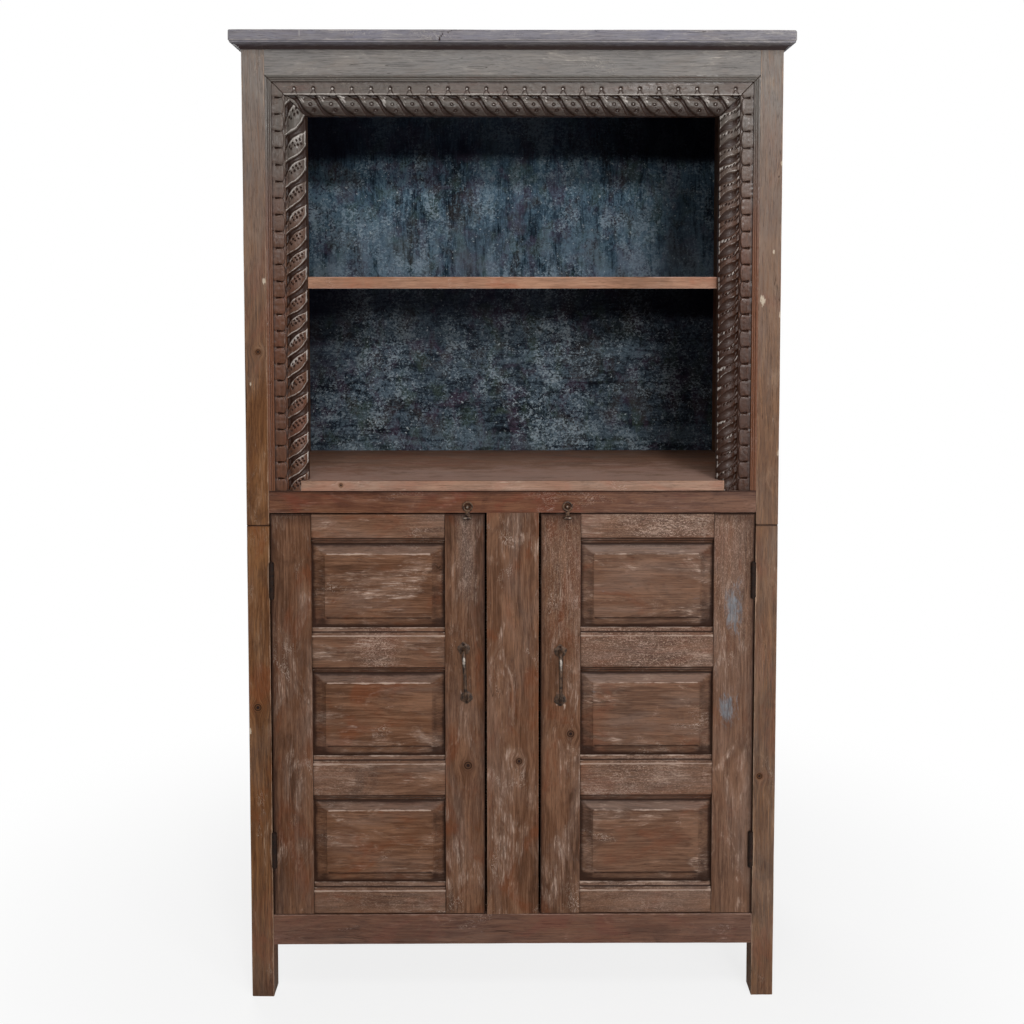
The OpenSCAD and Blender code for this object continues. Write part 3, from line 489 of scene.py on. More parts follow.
def aged_wood(name, dark, mid, light, red, grey, residue, residue_amount=0.5, patchiness=0.5, edge=None,
              edge_amount=0.8, grey_amount=0.3, gloss=0.5, relief=1.0, streaks=1.0, stain=None, specular=0.10,
              chips=()):
    """Old oiled hardwood: streaked fibres, pores, checks, knots, pale residue, dark joints, grime with
    painted shade, and rubbed edges with painted highlights.

    The paint value gives flakes of blue-grey paint, or a smooth stain where a stain is named.
    """
    g = Graph(bpy.data.materials.new(name))
    grain, knot = g.layer("grain", "Vector"), g.layer("knot", "Vector")
    wear, dirt, tint, paint, flaked = map(g.layer, ("wear", "dirt", "tint", "paint", "flaked"))

    # Fibres bend round the knots
    away = g.vectors("LENGTH", knot)
    pull = g.math("EXPONENT", g.math("POWER", away, 2.0) * -0.35)
    shove = g.sideways(*(g.add("SeparateXYZ", {0: knot}, out=axis) * pull * -0.011 for axis in "YZ"))
    bent = g.vectors("ADD", grain, shove)
    sway = g.noise(bent, (4, 14), detail=1.0) * 0.02
    fibre = g.vectors("ADD", bent, g.sideways(sway, sway))

    broad = g.noise(fibre, (2.6, 22), detail=4.0, rough=0.62)
    streak = g.noise(fibre, (8, 190), (3, 7, 1), detail=5.0, rough=0.65)
    fine = g.noise(fibre, (20, 700), (1, 2, 9), rough=0.6)
    blotch = g.noise(grain, (7, 13), (5, 5, 5), detail=5.0, rough=0.66, bend=0.9)
    amber = g.noise(grain, (5, 17), (6, 2, 8), rough=0.6, bend=0.6)
    cool = g.noise(grain, (4, 12), (9, 3, 2), detail=5.0, rough=0.68, bend=0.7)
    g.base = g.mix(g.ramp(broad, 0.30, 0.58, 0.35, 1.0), dark, mid)
    g.coat(light, g.ramp(streak, 0.46, 0.68), 0.55 * streaks)
    g.coat(light, g.ramp(amber, 0.50, 0.68), 0.55)
    g.coat(red, g.ramp(blotch, 0.50, 0.66), 0.60)
    g.coat(dark, g.ramp(blotch, 0.46, 0.28), 0.50)
    weathered = g.math("ADD", g.ramp(cool, 0.46, 0.66) * grey_amount, tint, clamp=True)
    g.coat(grey, weathered * g.ramp(streak, 0.25, 0.6, 0.6, 1.0))
    g.coat(light, g.ramp(fine, 0.50, 0.72), 0.28 * streaks)
    g.coat(dark, g.ramp(fine, 0.50, 0.26), 0.40 * streaks)
    if stain:
        g.coat(stain, paint * g.ramp(streak, 0.2, 0.6, 0.65, 1.0))

    # Pale residue of old paint: soft veils, broken streaks and a crackle of thin flecks
    patch = g.noise(grain, (8, 22), (2, 8, 6), detail=5.0, rough=0.7, bend=0.8)
    flake = g.noise(fibre, (34, 380), (4, 4, 7), detail=4.0, rough=0.7, bend=0.15)
    g.coat(residue, g.ramp(patch, 0.50, 0.74) * g.ramp(streak, 0.30, 0.66, 0.25, 0.8), 0.55 * residue_amount)
    left = g.ramp(patch, 0.60 - 0.22 * patchiness, 0.72) * g.ramp(flake, 0.50, 0.62) * residue_amount
    g.coat(residue, left)
    crackle = g.noise(grain, (75, 190), (4, 9, 7), detail=2.0, rough=0.5, bend=1.6)
    where = g.noise(grain, (9, 17), (7, 3, 1), rough=0.6, bend=0.5)
    vein = g.ramp(g.math("ABSOLUTE", crackle - 0.5), 0.035, 0.004)
    vein = vein * g.ramp(where, 0.62 - 0.10 * patchiness, 0.70)
    g.coat(g.mix(0.35, residue, FLECK), vein, residue_amount)
    curls = g.noise(grain, (130, 300), (2, 5, 5), detail=2.0, rough=0.6, bend=2.2)
    thick = flaked * g.ramp(patch, 0.30, 0.56, 0.35, 1.0)
    g.coat(dark, g.ramp(curls, 0.47, 0.38), thick * 0.55)
    g.coat(residue, g.ramp(curls, 0.53, 0.60), thick * 0.70)
    chalk = g.ramp(flake, 0.60, 0.72) * g.ramp(patch, 0.48, 0.70)
    g.coat(g.mix(0.5, residue, CHALK), chalk, residue_amount)

    # Blue-grey paint left in places
    if not stain:
        chip = g.noise(fibre, (38, 110), (6, 1, 8), detail=6.0, rough=0.75, bend=0.8)
        blue = g.mix(g.ramp(fine, 0.3, 0.7), BLUE_DARK, BLUE_PALE)
        g.coat(blue, g.ramp(chip + paint * 0.34, 0.62, 0.86), 0.75)

    # Pores and checks
    pores = g.ramp(g.noise(fibre, (55, 1100), (8, 1, 4), detail=1.0), 0.62, 0.74) * 0.5
    g.coat(dark, pores)
    line = g.noise(fibre, (3.0, 46), (2, 2, 12), detail=2.0, rough=0.5)
    check = g.ramp(g.math("ABSOLUTE", line - 0.5), 0.0030, 0.0)
    check = check * g.ramp(g.noise(grain, (6, 20), (7, 9, 1)), 0.58, 0.66)
    g.coat(CHECK_DARK, check, 0.65)

    # Knots
    ring = g.math("SINE", g.math("POWER", away, 0.8) * 17.0)
    in_knot = g.ramp(away, 1.15, 0.55)
    g.coat(g.mix(g.ramp(ring, -0.4, 0.9), dark, mid), in_knot)
    g.coat(KNOT_HEART, g.ramp(away, 0.5, 0.15))

    # Chips down to pale bare wood
    if chips:
        place = g.place()
        rim = g.noise(grain, (140, 300), (6, 6, 1), detail=4.0, rough=0.75) * 3.0
        for x, z, size in chips:
            off = g.vectors("SUBTRACT", place, (x, FACE_Y, z))
            off = g.vectors("MULTIPLY", off, (1 / size, 1 / size, 0.5 / size))
            g.coat(BARE_WOOD, g.ramp(g.vectors("LENGTH", off) + rim, 2.6, 2.1), 0.80)

    # Grime with painted shade in hollows, beside joints and gaps and under ledges, and rubbed edges with
    # painted highlights
    ragged = g.noise(grain, (60, 260), (1, 6, 3), detail=4.0, rough=0.7)
    g.coat(GRIME_AND_SHADE, g.ramp(dirt + ragged * 0.5, 0.30, 1.0), 0.90)
    spots = g.noise(grain, (14, 30), (3, 1, 2), detail=4.0, rough=0.7)
    spread = ragged - 0.5 + (spots - 0.5) * 1.6
    g.coat(edge or residue, g.ramp(wear + spread, 0.55, 0.95), edge_amount)

    rough = g.ramp(streak + blotch * 0.6, 0.5, 1.1, gloss - 0.1, gloss + 0.14) + left * 0.18
    height = streak * 0.6 + fine * 0.35 - pores * 0.5 - check * 2.0 + (left + vein) * 0.3
    height = height + thick * (curls * 1.6) + ring * (in_knot * 0.12)
    dents = g.noise(grain, (45, 70), (3, 3, 3))
    normal = g.bump(dents, 1.2 * MM * relief, 0.6, g.bump(height, 0.9 * MM * relief))
    return g.finish(rough, normal, specular=specular)


def old_paint(name):
    """Dark blue paint on the back boards, worn into a soft mottle of specks and brush strokes.

    The tint value makes the strokes upright, and the paint value shows bare brown wood instead. The
    near-black navy is painted shadow, and the pale blue is partly painted light.
    """
    g = Graph(bpy.data.materials.new(name))
    grain = g.layer("grain", "Vector")
    upright, dirt, bare, wear = map(g.layer, ("tint", "dirt", "paint", "wear"))

    def brushed(up, flat):
        return g.add("Mix", {0: upright, 2: flat, 3: up}, data_type="FLOAT")

    strokes = brushed(g.noise(grain, (34, 7), detail=6.0, rough=0.7, bend=0.4),
                      g.noise(grain, (8, 40, 48), (4, 4, 4), detail=6.0, rough=0.7, bend=0.4))
    hairs = brushed(g.noise(grain, (330, 34), (2, 2, 2), rough=0.6),
                    g.noise(grain, (70, 240, 300), (3, 3, 3), rough=0.6))
    cloud = g.noise(grain, (6, 6), (1, 1, 1), detail=4.0, rough=0.6, bend=0.8)
    cover = strokes * 0.45 + cloud * 0.30 + hairs * 0.25
    net = g.noise(grain, (115, 100), (8, 2, 5), detail=4.0, rough=0.75, bend=1.2)
    speck = g.noise(grain, (200, 250, 260), (2, 9, 5), rough=0.7, bend=0.4)
    violet = g.noise(grain, (20, 14), (6, 3, 5), detail=4.0, rough=0.6, bend=0.6)
    moss = g.noise(grain, (22, 15), (2, 8, 5), detail=4.0, rough=0.6, bend=0.6)
    warm = g.noise(grain, (17, 13), (9, 4, 2), rough=0.6, bend=0.5)
    where = g.noise(grain, (16, 11), (3, 7, 9), detail=4.0, rough=0.65, bend=0.6)
    sparks = g.noise(grain, (130, 130), (5, 7, 3), detail=2.0, rough=0.6)
    crisp = g.ramp(g.noise(grain, (7, 9), (8, 8, 1)), 0.38, 0.58, 0.55, 1.0)
    crisp = crisp * g.ramp(upright, 0.0, 1.0, 0.95, 0.75)

    body = g.mix(upright, "#34404c", "#435a6c")
    g.base = g.mix(g.ramp(cover, 0.40, 0.56), g.mix(upright, "#0d1017", "#0f1721"), body)
    g.coat(g.mix(0.6, body, "#54384a"), g.ramp(violet, 0.48, 0.62), 0.65)
    g.coat(g.mix(0.6, body, "#46553c"), g.ramp(moss, 0.50, 0.64), 0.6)
    g.coat("#3b3634", g.ramp(warm, 0.52, 0.64), 0.6)
    g.coat(g.mix(upright, "#61727e", "#66808f"), g.ramp(net + (cover - 0.5) * 0.9, 0.47, 0.62), crisp * 0.75)
    g.coat("#0c1017", g.ramp(net, 0.48, 0.38), crisp * 0.90)
    spots = speck + (cover - 0.5) * 0.5 + (where - 0.5) * g.ramp(upright, 0.0, 1.0, 0.65, 0.9)
    g.coat(g.mix(upright, "#98a6ae", "#98abb7"), g.ramp(spots, 0.54, 0.67), crisp * 0.85)
    g.coat("#b9c2c6", g.ramp(sparks, 0.68, 0.75), 0.7)
    # Pale blue in the brush strokes and in the painted pool of light above the shelf
    g.coat(g.mix(upright, "#6f8089", "#8495a5"), wear, g.ramp(strokes, 0.40, 0.60, 0.0, 0.6))
    wood = g.mix(g.ramp(strokes, 0.30, 0.72), "#3a2a1f", "#57422f")
    g.coat(g.mix(g.ramp(hairs, 0.5, 0.7) * 0.4, wood, "#7a6453"), bare)
    # Near-black navy: painted shadow under the header and the shelf and at the sides
    g.coat("#0b0b18", g.ramp(dirt, 0.0, 1.0, 0.0, 0.95))
    normal = g.bump(strokes * 0.4 + net * 0.6, 0.7 * MM)
    return g.finish(g.ramp(net, 0.3, 0.7, 0.5, 0.75), normal, specular=0.03)


def old_iron(name, dark, pale, rust_amount, rust, shine, metallic=0.7, specular=0.5):
    """Hand-forged iron, rubbed bright on its high spots with a painted highlight, with rust in the rest."""
    g = Graph(bpy.data.materials.new(name))
    place = g.place()
    hammer = g.noise(place, (170, 170), detail=2.0)
    grit = g.noise(place, (900, 900), (3, 3, 3), detail=4.0, rough=0.7)
    patina = g.noise(place, (120, 120), (7, 7, 7), detail=5.0, rough=0.7)
    g.base = g.mix(g.ramp(hammer, 0.35, 0.65), dark, pale)
    g.coat(rust, g.ramp(patina, 0.50, 0.68), rust_amount)
    g.coat("#75685c", g.ramp(grit, 0.60, 0.75), 0.4)
    # Pale rubbed iron and painted highlight on the front of each forging
    g.coat("#b9b0a6", g.ramp(g.layer("wear") + (hammer - 0.5) * 0.8, 0.45, 0.85), 0.3 + 0.85 * metallic)
    rough = g.ramp(hammer + patina * 0.7, 0.5, 1.1, shine, shine + 0.3)
    normal = g.bump(hammer, 1.2 * MM, 0.7, g.bump(grit, 0.35 * MM))
    return g.finish(rough, normal, metallic, specular)


CHIPS = [(x, z, size * MM) for x, z, size in (
    (-0.462, 1.372, 3.2), (0.466, 1.336, 5.0), (0.499, 1.310, 3.2), (0.486, 1.425, 2.2), (0.499, 1.590, 2.4),
    (-0.490, 1.180, 2.2), (0.499, 1.050, 3.2), (-0.499, 0.520, 3.4))]
TOP_WOOD = aged_wood("top_wood", "#3a3636", "#6c6865", "#8f8982", "#77685a", "#72707a", "#b0aaa2", 0.55, 0.45,
                     "#a19b98", 0.6, grey_amount=0.35, streaks=1.3)
HEADER_WOOD = aged_wood("header_wood", "#3a3633", "#6a6562", "#8d847b", "#75675b", "#73706e", "#aaa39a", 0.5,
                        0.4, "#a19b94", 0.6, grey_amount=0.35, streaks=1.3)
POST_WOOD = aged_wood("post_wood", "#2f1a0d", "#5f3d24", "#7d5635", "#6a381c", "#77716c", "#a58b75", 0.4, 0.2,
                      "#a88c76", 0.5, grey_amount=0.12, streaks=1.4, chips=CHIPS)
RAIL_WOOD = aged_wood("rail_wood", "#2f1710", "#5c3928", "#75503a", "#683425", "#6a5850", "#a58678", 0.4, 0.2,
                      "#a98c7e", 0.5, grey_amount=0.15, streaks=1.3)
DOOR_WOOD = aged_wood("door_wood", "#2c1a10", "#5d3e2b", "#83604a", "#68381f", "#736056", "#b39a8a", 0.7,
                      0.45, "#b39c8d", 0.75, grey_amount=0.35, streaks=1.15)
SHELF_WOOD = aged_wood("shelf_wood", "#573c2b", "#8a6550", "#a67e66", "#915a43", "#8b7c72", "#bba291", 0.45,
                       0.25, "#b7978a", 0.6, grey_amount=0.2, streaks=1.3)
CARVED_WOOD = aged_wood("carved_wood", "#1c100a", "#4a2c1c", "#5e3d29", "#5a2a1b", "#524e49", "#9a8c84", 0.2,
                        0.1, "#a9a29c", 0.8, grey_amount=0.1, gloss=0.34, relief=0.4, streaks=0.7,
                        stain="#603a24", specular=0.26)
BACK_PAINT = old_paint("back_paint")
HINGE_IRON = old_iron("hinge_iron", "#110906", "#22140d", 0.6, "#331c10", 0.5, metallic=0.0, specular=0.15)
HANDLE_IRON = old_iron("handle_iron", "#20150f", "#543e2e", 0.55, "#4a301d", 0.28, metallic=0.5)
LATCH_IRON = old_iron("latch_iron", "#241813", "#55402f", 0.6, "#55351f", 0.26)


# Tints by height: the top has turned grey, and the feet are darkest

GREY_FROM = 1.15
GREY_TO = 1.80
GREYEST_FROM = 1.66
GREYER_RIGHT_X = (0.2, 0.45)
FOOT_H = 0.10


def greyed(amount=0.9):
    """The weathered grey of the upper part, stronger with height."""
    def tint(points, layers):
        x, _, z = points.T
        share = share_of(z, GREY_FROM, GREY_TO)
        uneven = layered(points, np.array([60, 60, 160]) * MM, 77)
        right = step_up(x, *GREYER_RIGHT_X) * (1 - share)
        top = 0.35 * step_up(z, GREYEST_FROM, GREY_TO)
        layers["tint"] = np.clip(share * amount + top + 0.15 * uneven * share + 0.20 * right, 0, 1)
        at_least(layers, "tint", 0.18 * step_up(0.3 - z, 0, 0.25))
        at_least(layers, "dirt", 0.36 * np.clip((FOOT_H - z) / FOOT_H, 0, 1) * (1 - 0.8 * right))
    return tint


# Posts

POST_JOINT_Z = post_high.z
POST_TOP_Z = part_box("header_rail")[1].z
REAR_POST_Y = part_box("rear_right_post")[0].y
HINGE_Z = (0.289, 0.809)
POST_KNOTS = [((-0.483, FACE_Y, 0.565), 10 * MM, "z"), ((0.47, FACE_Y, 0.43), 8 * MM, "z"),
              ((-0.475, FACE_Y, 1.24), 7 * MM, "z")]


def jointed(points, layers):
    """The dark joint between a post's two lengths, and the wood rubbed pale beside the hinges."""
    x, y, z = points.T
    near = np.exp(-np.abs(z - POST_JOINT_Z) / (1.5 * MM))
    at_least(layers, "dirt", near)
    layers["wear"] *= 1 - np.clip(2 * near, 0, 1)
    inner = hump(np.abs(x), POST_IN, 4 * MM) * (y < FACE_Y + 4 * MM)
    for hinge_z in HINGE_Z:
        layers["wear"] += 1.2 * inner * hump(z, hinge_z, 30 * MM)
    return points


def make_posts():
    """Six posts: the two front ones are in two lengths."""
    for side, word in SIDES.items():
        x_low, x_high = sorted((side * POST_IN, side * POST_OUT))
        for part, z_low, z_high in (("lower", 0, POST_JOINT_Z), ("upper", POST_JOINT_Z, POST_TOP_Z)):
            board(f"front_{word}_{part}_post", (x_low, FACE_Y, z_low), (x_high, POST_BACK_Y, z_high), "z",
                  POST_WOOD, radius=2.5 * MM, step=7 * MM, knots=POST_KNOTS, tint=greyed(), shape=jointed)
        board(f"rear_{word}_post", (x_low, REAR_POST_Y, 0), (x_high, BACK_Y, POST_TOP_Z), "z",
              POST_WOOD, radius=2.5 * MM, step=9 * MM, tint=greyed())


make_posts()


# Top board and cornice

TOP_LOW, TOP_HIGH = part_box("top_board")
CORNICE_LOW, CORNICE_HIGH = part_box("cornice_front")
CORNICE_LIP = 2.5 * MM
CORNICE_FOOT = 2 * MM
CORNICE_EDGE = 0.6 * MM
CRACK_X, CRACK_BEND = -0.134, 0.034
CRACK_LINES = [CRACK_X + CRACK_BEND * i / 5 for i in range(6)]
SCORE_X = -0.3895


def crack_at(points, reach):
    """How far up the top board's edge each point is, and how near the crack."""
    share = share_of(points[:, 2], TOP_LOW.z, TOP_HIGH.z)
    return share, hump(points[:, 0], CRACK_X + CRACK_BEND * share**3, reach)


def scored(points, layers):
    """The front edge of the top board: a curved crack and a score."""
    at_front = points[:, 1] < TOP_LOW.y + 4 * MM
    share, near = crack_at(points, 1.7 * MM)
    near = near * at_front
    points[:, 1] += 1.0 * MM * near
    layers["wear"] *= 1 - near
    score = hump(points[:, 0], SCORE_X, 1.3 * MM) * at_front * step_up(share, 0.2, 0.5)
    at_least(layers, "wear", 1.3 * score)
    return points


def top_tint(points, layers):
    """Grey all over, with grime in the crack and along the foot of the front edge."""
    share, crack = crack_at(points, 1.2 * MM)
    front = np.clip((TOP_LOW.y + 0.02 - points[:, 1]) / 0.02, 0, 1)
    layers["tint"] = np.full(len(points), 0.8)
    layers["dirt"] = front * np.clip(0.25 * np.clip((0.45 - share) / 0.45, 0, 1) + crack, 0, 1)


def cornice_profile(count=10):
    """Points of the cornice's section: out from the post, and up from its foot."""
    height = CORNICE_HIGH.z - CORNICE_LOW.z
    reach = FACE_Y - CORNICE_LOW.y
    foot, lip = np.array([CORNICE_FOOT, 0.0]), np.array([reach, height - CORNICE_LIP])
    chord = lip - foot
    middle = (foot + lip) / 2 + np.array([chord[1], -chord[0]])
    radius = np.linalg.norm(foot - middle)
    start, end = (math.atan2(*(p - middle)[::-1]) for p in (foot, lip))
    turn = np.linspace(start, end, count)
    cove = [middle + radius * np.array([math.cos(t), math.sin(t)]) for t in turn]
    corner = [[reach, height - CORNICE_EDGE], [reach - CORNICE_EDGE, height]]
    return np.array([[0, 0], *cove, *corner, [0, height]])


def swept(node, profile, stations, place, along, material):
    """A moulding: its section is carried along the stations, with flat ends."""
    points = np.concatenate([place(profile, station) for station in stations])
    faces = wound_outward(points, strips(len(stations), len(profile), "capped"))
    out = np.tile(profile[:, 0] / profile[:, 0].max(), len(stations))
    layers = plain_layers(points, along)
    layers["wear"] = np.where(out > 0.95, 0.5, 0.0)
    # The cove is darker towards the post, under the lip: painted shade
    layers["dirt"] = np.clip(1.0 - out, 0, 0.75)
    layers["tint"] += 0.6
    declare(make_mesh(node + "_wood", points, faces, layers, crease=35), node, material)


def make_top():
    """The top board, and three lengths of cove moulding mitred at the front corners."""
    board("top_board", TOP_LOW, TOP_HIGH, "x", TOP_WOOD, radius=4.5 * MM, step=10 * MM,
          marks=[SCORE_X, *CRACK_LINES], marked="x", shape=scored, tint=top_tint)
    profile = cornice_profile()
    stations = np.linspace(-1, 1, 60)

    def along_front(section, t):
        x = t * (POST_OUT + section[:, 0])
        return np.stack([x, FACE_Y - section[:, 0], CORNICE_LOW.z + section[:, 1]], -1)

    swept("cornice_front", profile, stations, along_front, "x", TOP_WOOD)
    for side, word in SIDES.items():
        def along_side(section, t, side=side):
            front = FACE_Y - section[:, 0]
            y = front + (t + 1) / 2 * (BACK_Y - front)
            return np.stack([side * (POST_OUT + section[:, 0]), y, CORNICE_LOW.z + section[:, 1]], -1)

        swept(f"cornice_{word}", profile, stations[::2], along_side, "y", TOP_WOOD)


make_top()


# Rails

HEADER_LOW, HEADER_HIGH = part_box("header_rail")
MIDDLE_LOW, MIDDLE_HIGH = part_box("middle_rail")
BOTTOM_LOW, BOTTOM_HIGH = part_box("bottom_rail")
SIDE_RAIL_LOW, SIDE_RAIL_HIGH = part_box("right_side_rail_top")
REAR_RAIL_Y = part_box("rear_rail_top")[0].y
JOINT = 0.15 * MM
DOOR_GAP = 2 * MM


def header_tint(points, layers):
    """The header is greyer, and darker in the shade of the cornice."""
    greyed(0.35)(points, layers)
    shade = np.clip((points[:, 2] - (HEADER_HIGH.z - 22 * MM)) / (9 * MM), 0, 1)
    at_least(layers, "dirt", 0.25 * shade)


def under_sill(points, layers):
    """A painted shadow line under the sill's edge, and greyer wood on the right."""
    at_least(layers, "dirt", 0.75 * hump(points[:, 2], MIDDLE_HIGH.z, 3.5 * MM))
    layers["tint"] = 0.35 * step_up(points[:, 0], 0.05, 0.35)


def above_floor(points, layers):
    greyed(0.5)(points, layers)
    layers["tint"] += 0.22


def dulled(points, layers):
    layers["dirt"] = np.full(len(points), 0.15)


def make_rails():
    """Front rails, the upright between the doors, and the rails of the sides and the back."""
    inner = POST_IN - JOINT

    def front_rail(node, low_z, high_z, material, **looks):
        board(node, (-inner, FACE_Y, low_z), (inner, RAIL_BACK_Y, high_z), "x", material, **looks)

    front_rail("header_rail", HEADER_LOW.z, HEADER_HIGH.z, HEADER_WOOD, radius=1.0 * MM, step=8 * MM,
               tint=header_tint, worn=0.4)
    front_rail("middle_rail", MIDDLE_LOW.z, MIDDLE_HIGH.z, RAIL_WOOD, radius=1.4 * MM, step=7 * MM,
               tint=under_sill, worn=0.7)
    front_rail("bottom_rail", BOTTOM_LOW.z, BOTTOM_HIGH.z, RAIL_WOOD, step=8 * MM, tint=above_floor)
    half = DOOR_LOW.x - DOOR_GAP - GAP_WORN
    board("mullion", (-half, FACE_Y, BOTTOM_HIGH.z + JOINT), (half, RAIL_BACK_Y, MIDDLE_LOW.z - JOINT), "z",
          DOOR_WOOD, radius=2.0 * MM, step=8 * MM, tint=dulled, worn=0.6,
          knots=[((0.012, FACE_Y, 0.46), 9 * MM, "z")])
    levels = ("top", "middle", "bottom")
    for side, word in SIDES.items():
        x_low, x_high = sorted((side * SIDE_RAIL_LOW.x, side * SIDE_RAIL_HIGH.x))
        for node in (f"{word}_side_rail_{level}" for level in levels):
            low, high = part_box(node)
            board(node, (x_low, POST_BACK_Y + JOINT, low.z), (x_high, REAR_POST_Y - JOINT, high.z), "y",
                  RAIL_WOOD, radius=1.6 * MM, step=10 * MM, tint=greyed(0.7))
    for node in (f"rear_rail_{level}" for level in levels):
        low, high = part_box(node)
        board(node, (-inner, REAR_RAIL_Y, low.z), (inner, BACK_Y, high.z), "x", RAIL_WOOD, radius=1.6 * MM,
              tint=greyed(0.5))


make_rails()


# Boards inside the carcass

SIDE_BOARD_LOW, SIDE_BOARD_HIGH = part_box("right_side_boards")
PLANK_JOINTS = (-0.055, 0.062)
PLANK_MIDDLE_X = (SIDE_BOARD_LOW.x + SIDE_BOARD_HIGH.x) / 2
GROOVE_W, GROOVE_SUNK = 1.6 * MM, 2.2 * MM
NEXT_GRAIN = 0.7
HORN = 13 * MM
INSIDE_X = SIDE_BOARD_LOW.x - 0.2 * MM


def planked(points, layers):
    """Joints between upright planks: narrow grooves at the marks, with a new grain beyond each."""
    x, y, _ = points.T
    for mark in PLANK_JOINTS:
        near = hump(y, mark, GROOVE_W)
        points[:, 0] -= np.sign(x) * GROOVE_SUNK * near * (np.abs(x) > PLANK_MIDDLE_X)
        points[:, 0] += np.sign(x) * GROOVE_SUNK * near * (np.abs(x) < PLANK_MIDDLE_X)
        at_least(layers, "dirt", near)
        layers["grain"][:, 1:] += np.where(y > mark, NEXT_GRAIN, 0.0)[:, None]
    return points


def narrowed(points, layers):
    """The sill's front edge ends under the ropes."""
    horn = OPENING_X + HORN
    x, y, _ = points.T
    sticks_out = (y < RAIL_BACK_Y - 1 * MM) & (np.abs(x) > horn)
    points[:, 0] = np.where(sticks_out, np.sign(x) * horn, x)
    return points


def sill_light_and_shade(points, layers):
    """Painted light on the front of the sill's top, which is also greyer there, and painted shadow of the
    shelf towards the back.
    """
    y = points[:, 1]
    inward = share_of(y, SILL_LOW.y, SILL_HIGH.y)
    on_top = step_up(y, SILL_LOW.y + 2 * MM, SILL_LOW.y + 6 * MM)
    layers["dirt"] = 0.28 * inward**2.5
    layers["tint"] = 0.3 * (1 - inward)
    layers["wear"] = np.maximum(0.4 * layers["wear"], 1.05 * on_top * (1 - inward) ** 0.8)


def make_boards():
    """Side boards, shelves, floor and sill."""
    for side, word in SIDES.items():
        a, b = sorted((side * SIDE_BOARD_LOW.x, side * SIDE_BOARD_HIGH.x))
        board(f"{word}_side_boards", (a, SIDE_BOARD_LOW.y, SIDE_BOARD_LOW.z),
              (b, SIDE_BOARD_HIGH.y, SIDE_BOARD_HIGH.z), "z", POST_WOOD, radius=1.5 * MM, tint=greyed(0.3),
              marks=PLANK_JOINTS, shape=planked)

    def flat_board(node, material, **looks):
        low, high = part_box(node)
        board(node, (-INSIDE_X, low.y, low.z), (INSIDE_X, high.y, high.z), "x", material, **looks)

    flat_board("display_shelf", SHELF_WOOD, radius=2.0 * MM, step=9 * MM)
    flat_board("cupboard_floor", DOOR_WOOD, radius=1.6 * MM)
    flat_board("cupboard_shelf", DOOR_WOOD, radius=1.6 * MM)
    flat_board("sill_board", SHELF_WOOD, radius=2.0 * MM, step=9 * MM, shape=narrowed, tint=sill_light_and_shade,
               knots=[((-0.322, SILL_LOW.y, 0.990), 6 * MM, "x")])


make_boards()


# Back panels

SHELF_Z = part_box("display_shelf")[0].z
BRUSHED_X, BRUSHED_Z, PALE_BAND_Z = 0.14, 1.20, 1.02
DARK_SIDE_X = (0.28, 0.42)


def painted(points, layers):
    """Upright strokes above the shelf and level ones below it. Painted shadow under the header and the shelf
    and at the sides, and painted light above the shelf. The rear face is bare wood.
    """
    x, y, z = points.T
    below = z < SHELF_Z
    upright = np.clip((z - SHELF_Z) / (30 * MM), 0, 1)
    under = step_up(z, SHELF_Z - 110 * MM, SHELF_Z - 30 * MM) * below
    # Painted shadow cast by the header and by the shelf
    shade = 0.80 * step_up(z, OPENING_Z - 58 * MM, OPENING_Z - 20 * MM) + 0.75 * under
    # Darker towards the top of the lower bay
    dull = step_up(z, SILL_HIGH.z + 60 * MM, SILL_HIGH.z + 200 * MM) * below
    # Painted shade at both sides, where the side boards cast shadow
    side = step_up(np.abs(x + 30 * MM), *DARK_SIDE_X)
    brushed = hump(x, BRUSHED_X, 0.20) * hump(z, BRUSHED_Z, 0.05) + 0.8 * hump(z, PALE_BAND_Z, 0.03)
    # Painted pool of light above the shelf; the brush strokes below are the paint's own
    wear = 0.6 * hump(z, SHELF_Z + 20 * MM, 110 * MM) * upright + 0.45 * brushed * below
    panel_low, panel_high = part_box("back_panel_upper")
    rear = y > (panel_low.y + panel_high.y) / 2
    layers["tint"] = np.where(rear, 1.0, upright)
    layers["paint"] = np.where(rear, 1.0, 0.0)
    layers["dirt"] = np.where(rear, 0.0, np.clip(np.maximum(shade, 0.28 * dull) + 0.38 * side, 0, 1))
    layers["wear"] = np.where(rear, 0.0, wear)


for panel in ("back_panel_upper", "back_panel_lower"):
    board(panel, *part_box(panel), "x", BACK_PAINT, radius=1.0 * MM, wave=0.8 * MM, tint=painted)


# Carved frame

STRIP = 5 * MM
FILLET = 7 * MM
FILLET_ROUND = 1.1 * MM
BAND_FROM = STRIP + FILLET
BAND_TO = BAND_FROM + 23 * MM
BAND_SUNK = 3.4 * MM
NOTCH_PITCH = 30.8 * MM
TOP_NOTCH_PITCH = 35.5 * MM
ROPE_FROM = 36.8 * MM
ROPE_W = CARVE_W - ROPE_FROM
ROPE_RISE = 13 * MM
ROPE_PROUD = 1 * MM
ROPE_MIDDLE = ROPE_FROM + ROPE_W / 2
ROPE_RADIUS = ((ROPE_W / 2) ** 2 + ROPE_RISE**2) / (2 * ROPE_RISE)
ROPE_EASES = 450 * MM
ROPE_FLOOR = -5.4 * MM
STEEPER = 1.4
STEEP_UP_TO = (0.40, 0.62)
FIRST_TURN = 7.9 * MM
CARVE_STEP = 0.95 * MM
CARVING_GREYS_Z = (1.20, 1.72)

# Ropes: bulging strands with drilled holes on the left and along the top, scoops under ridges on the right

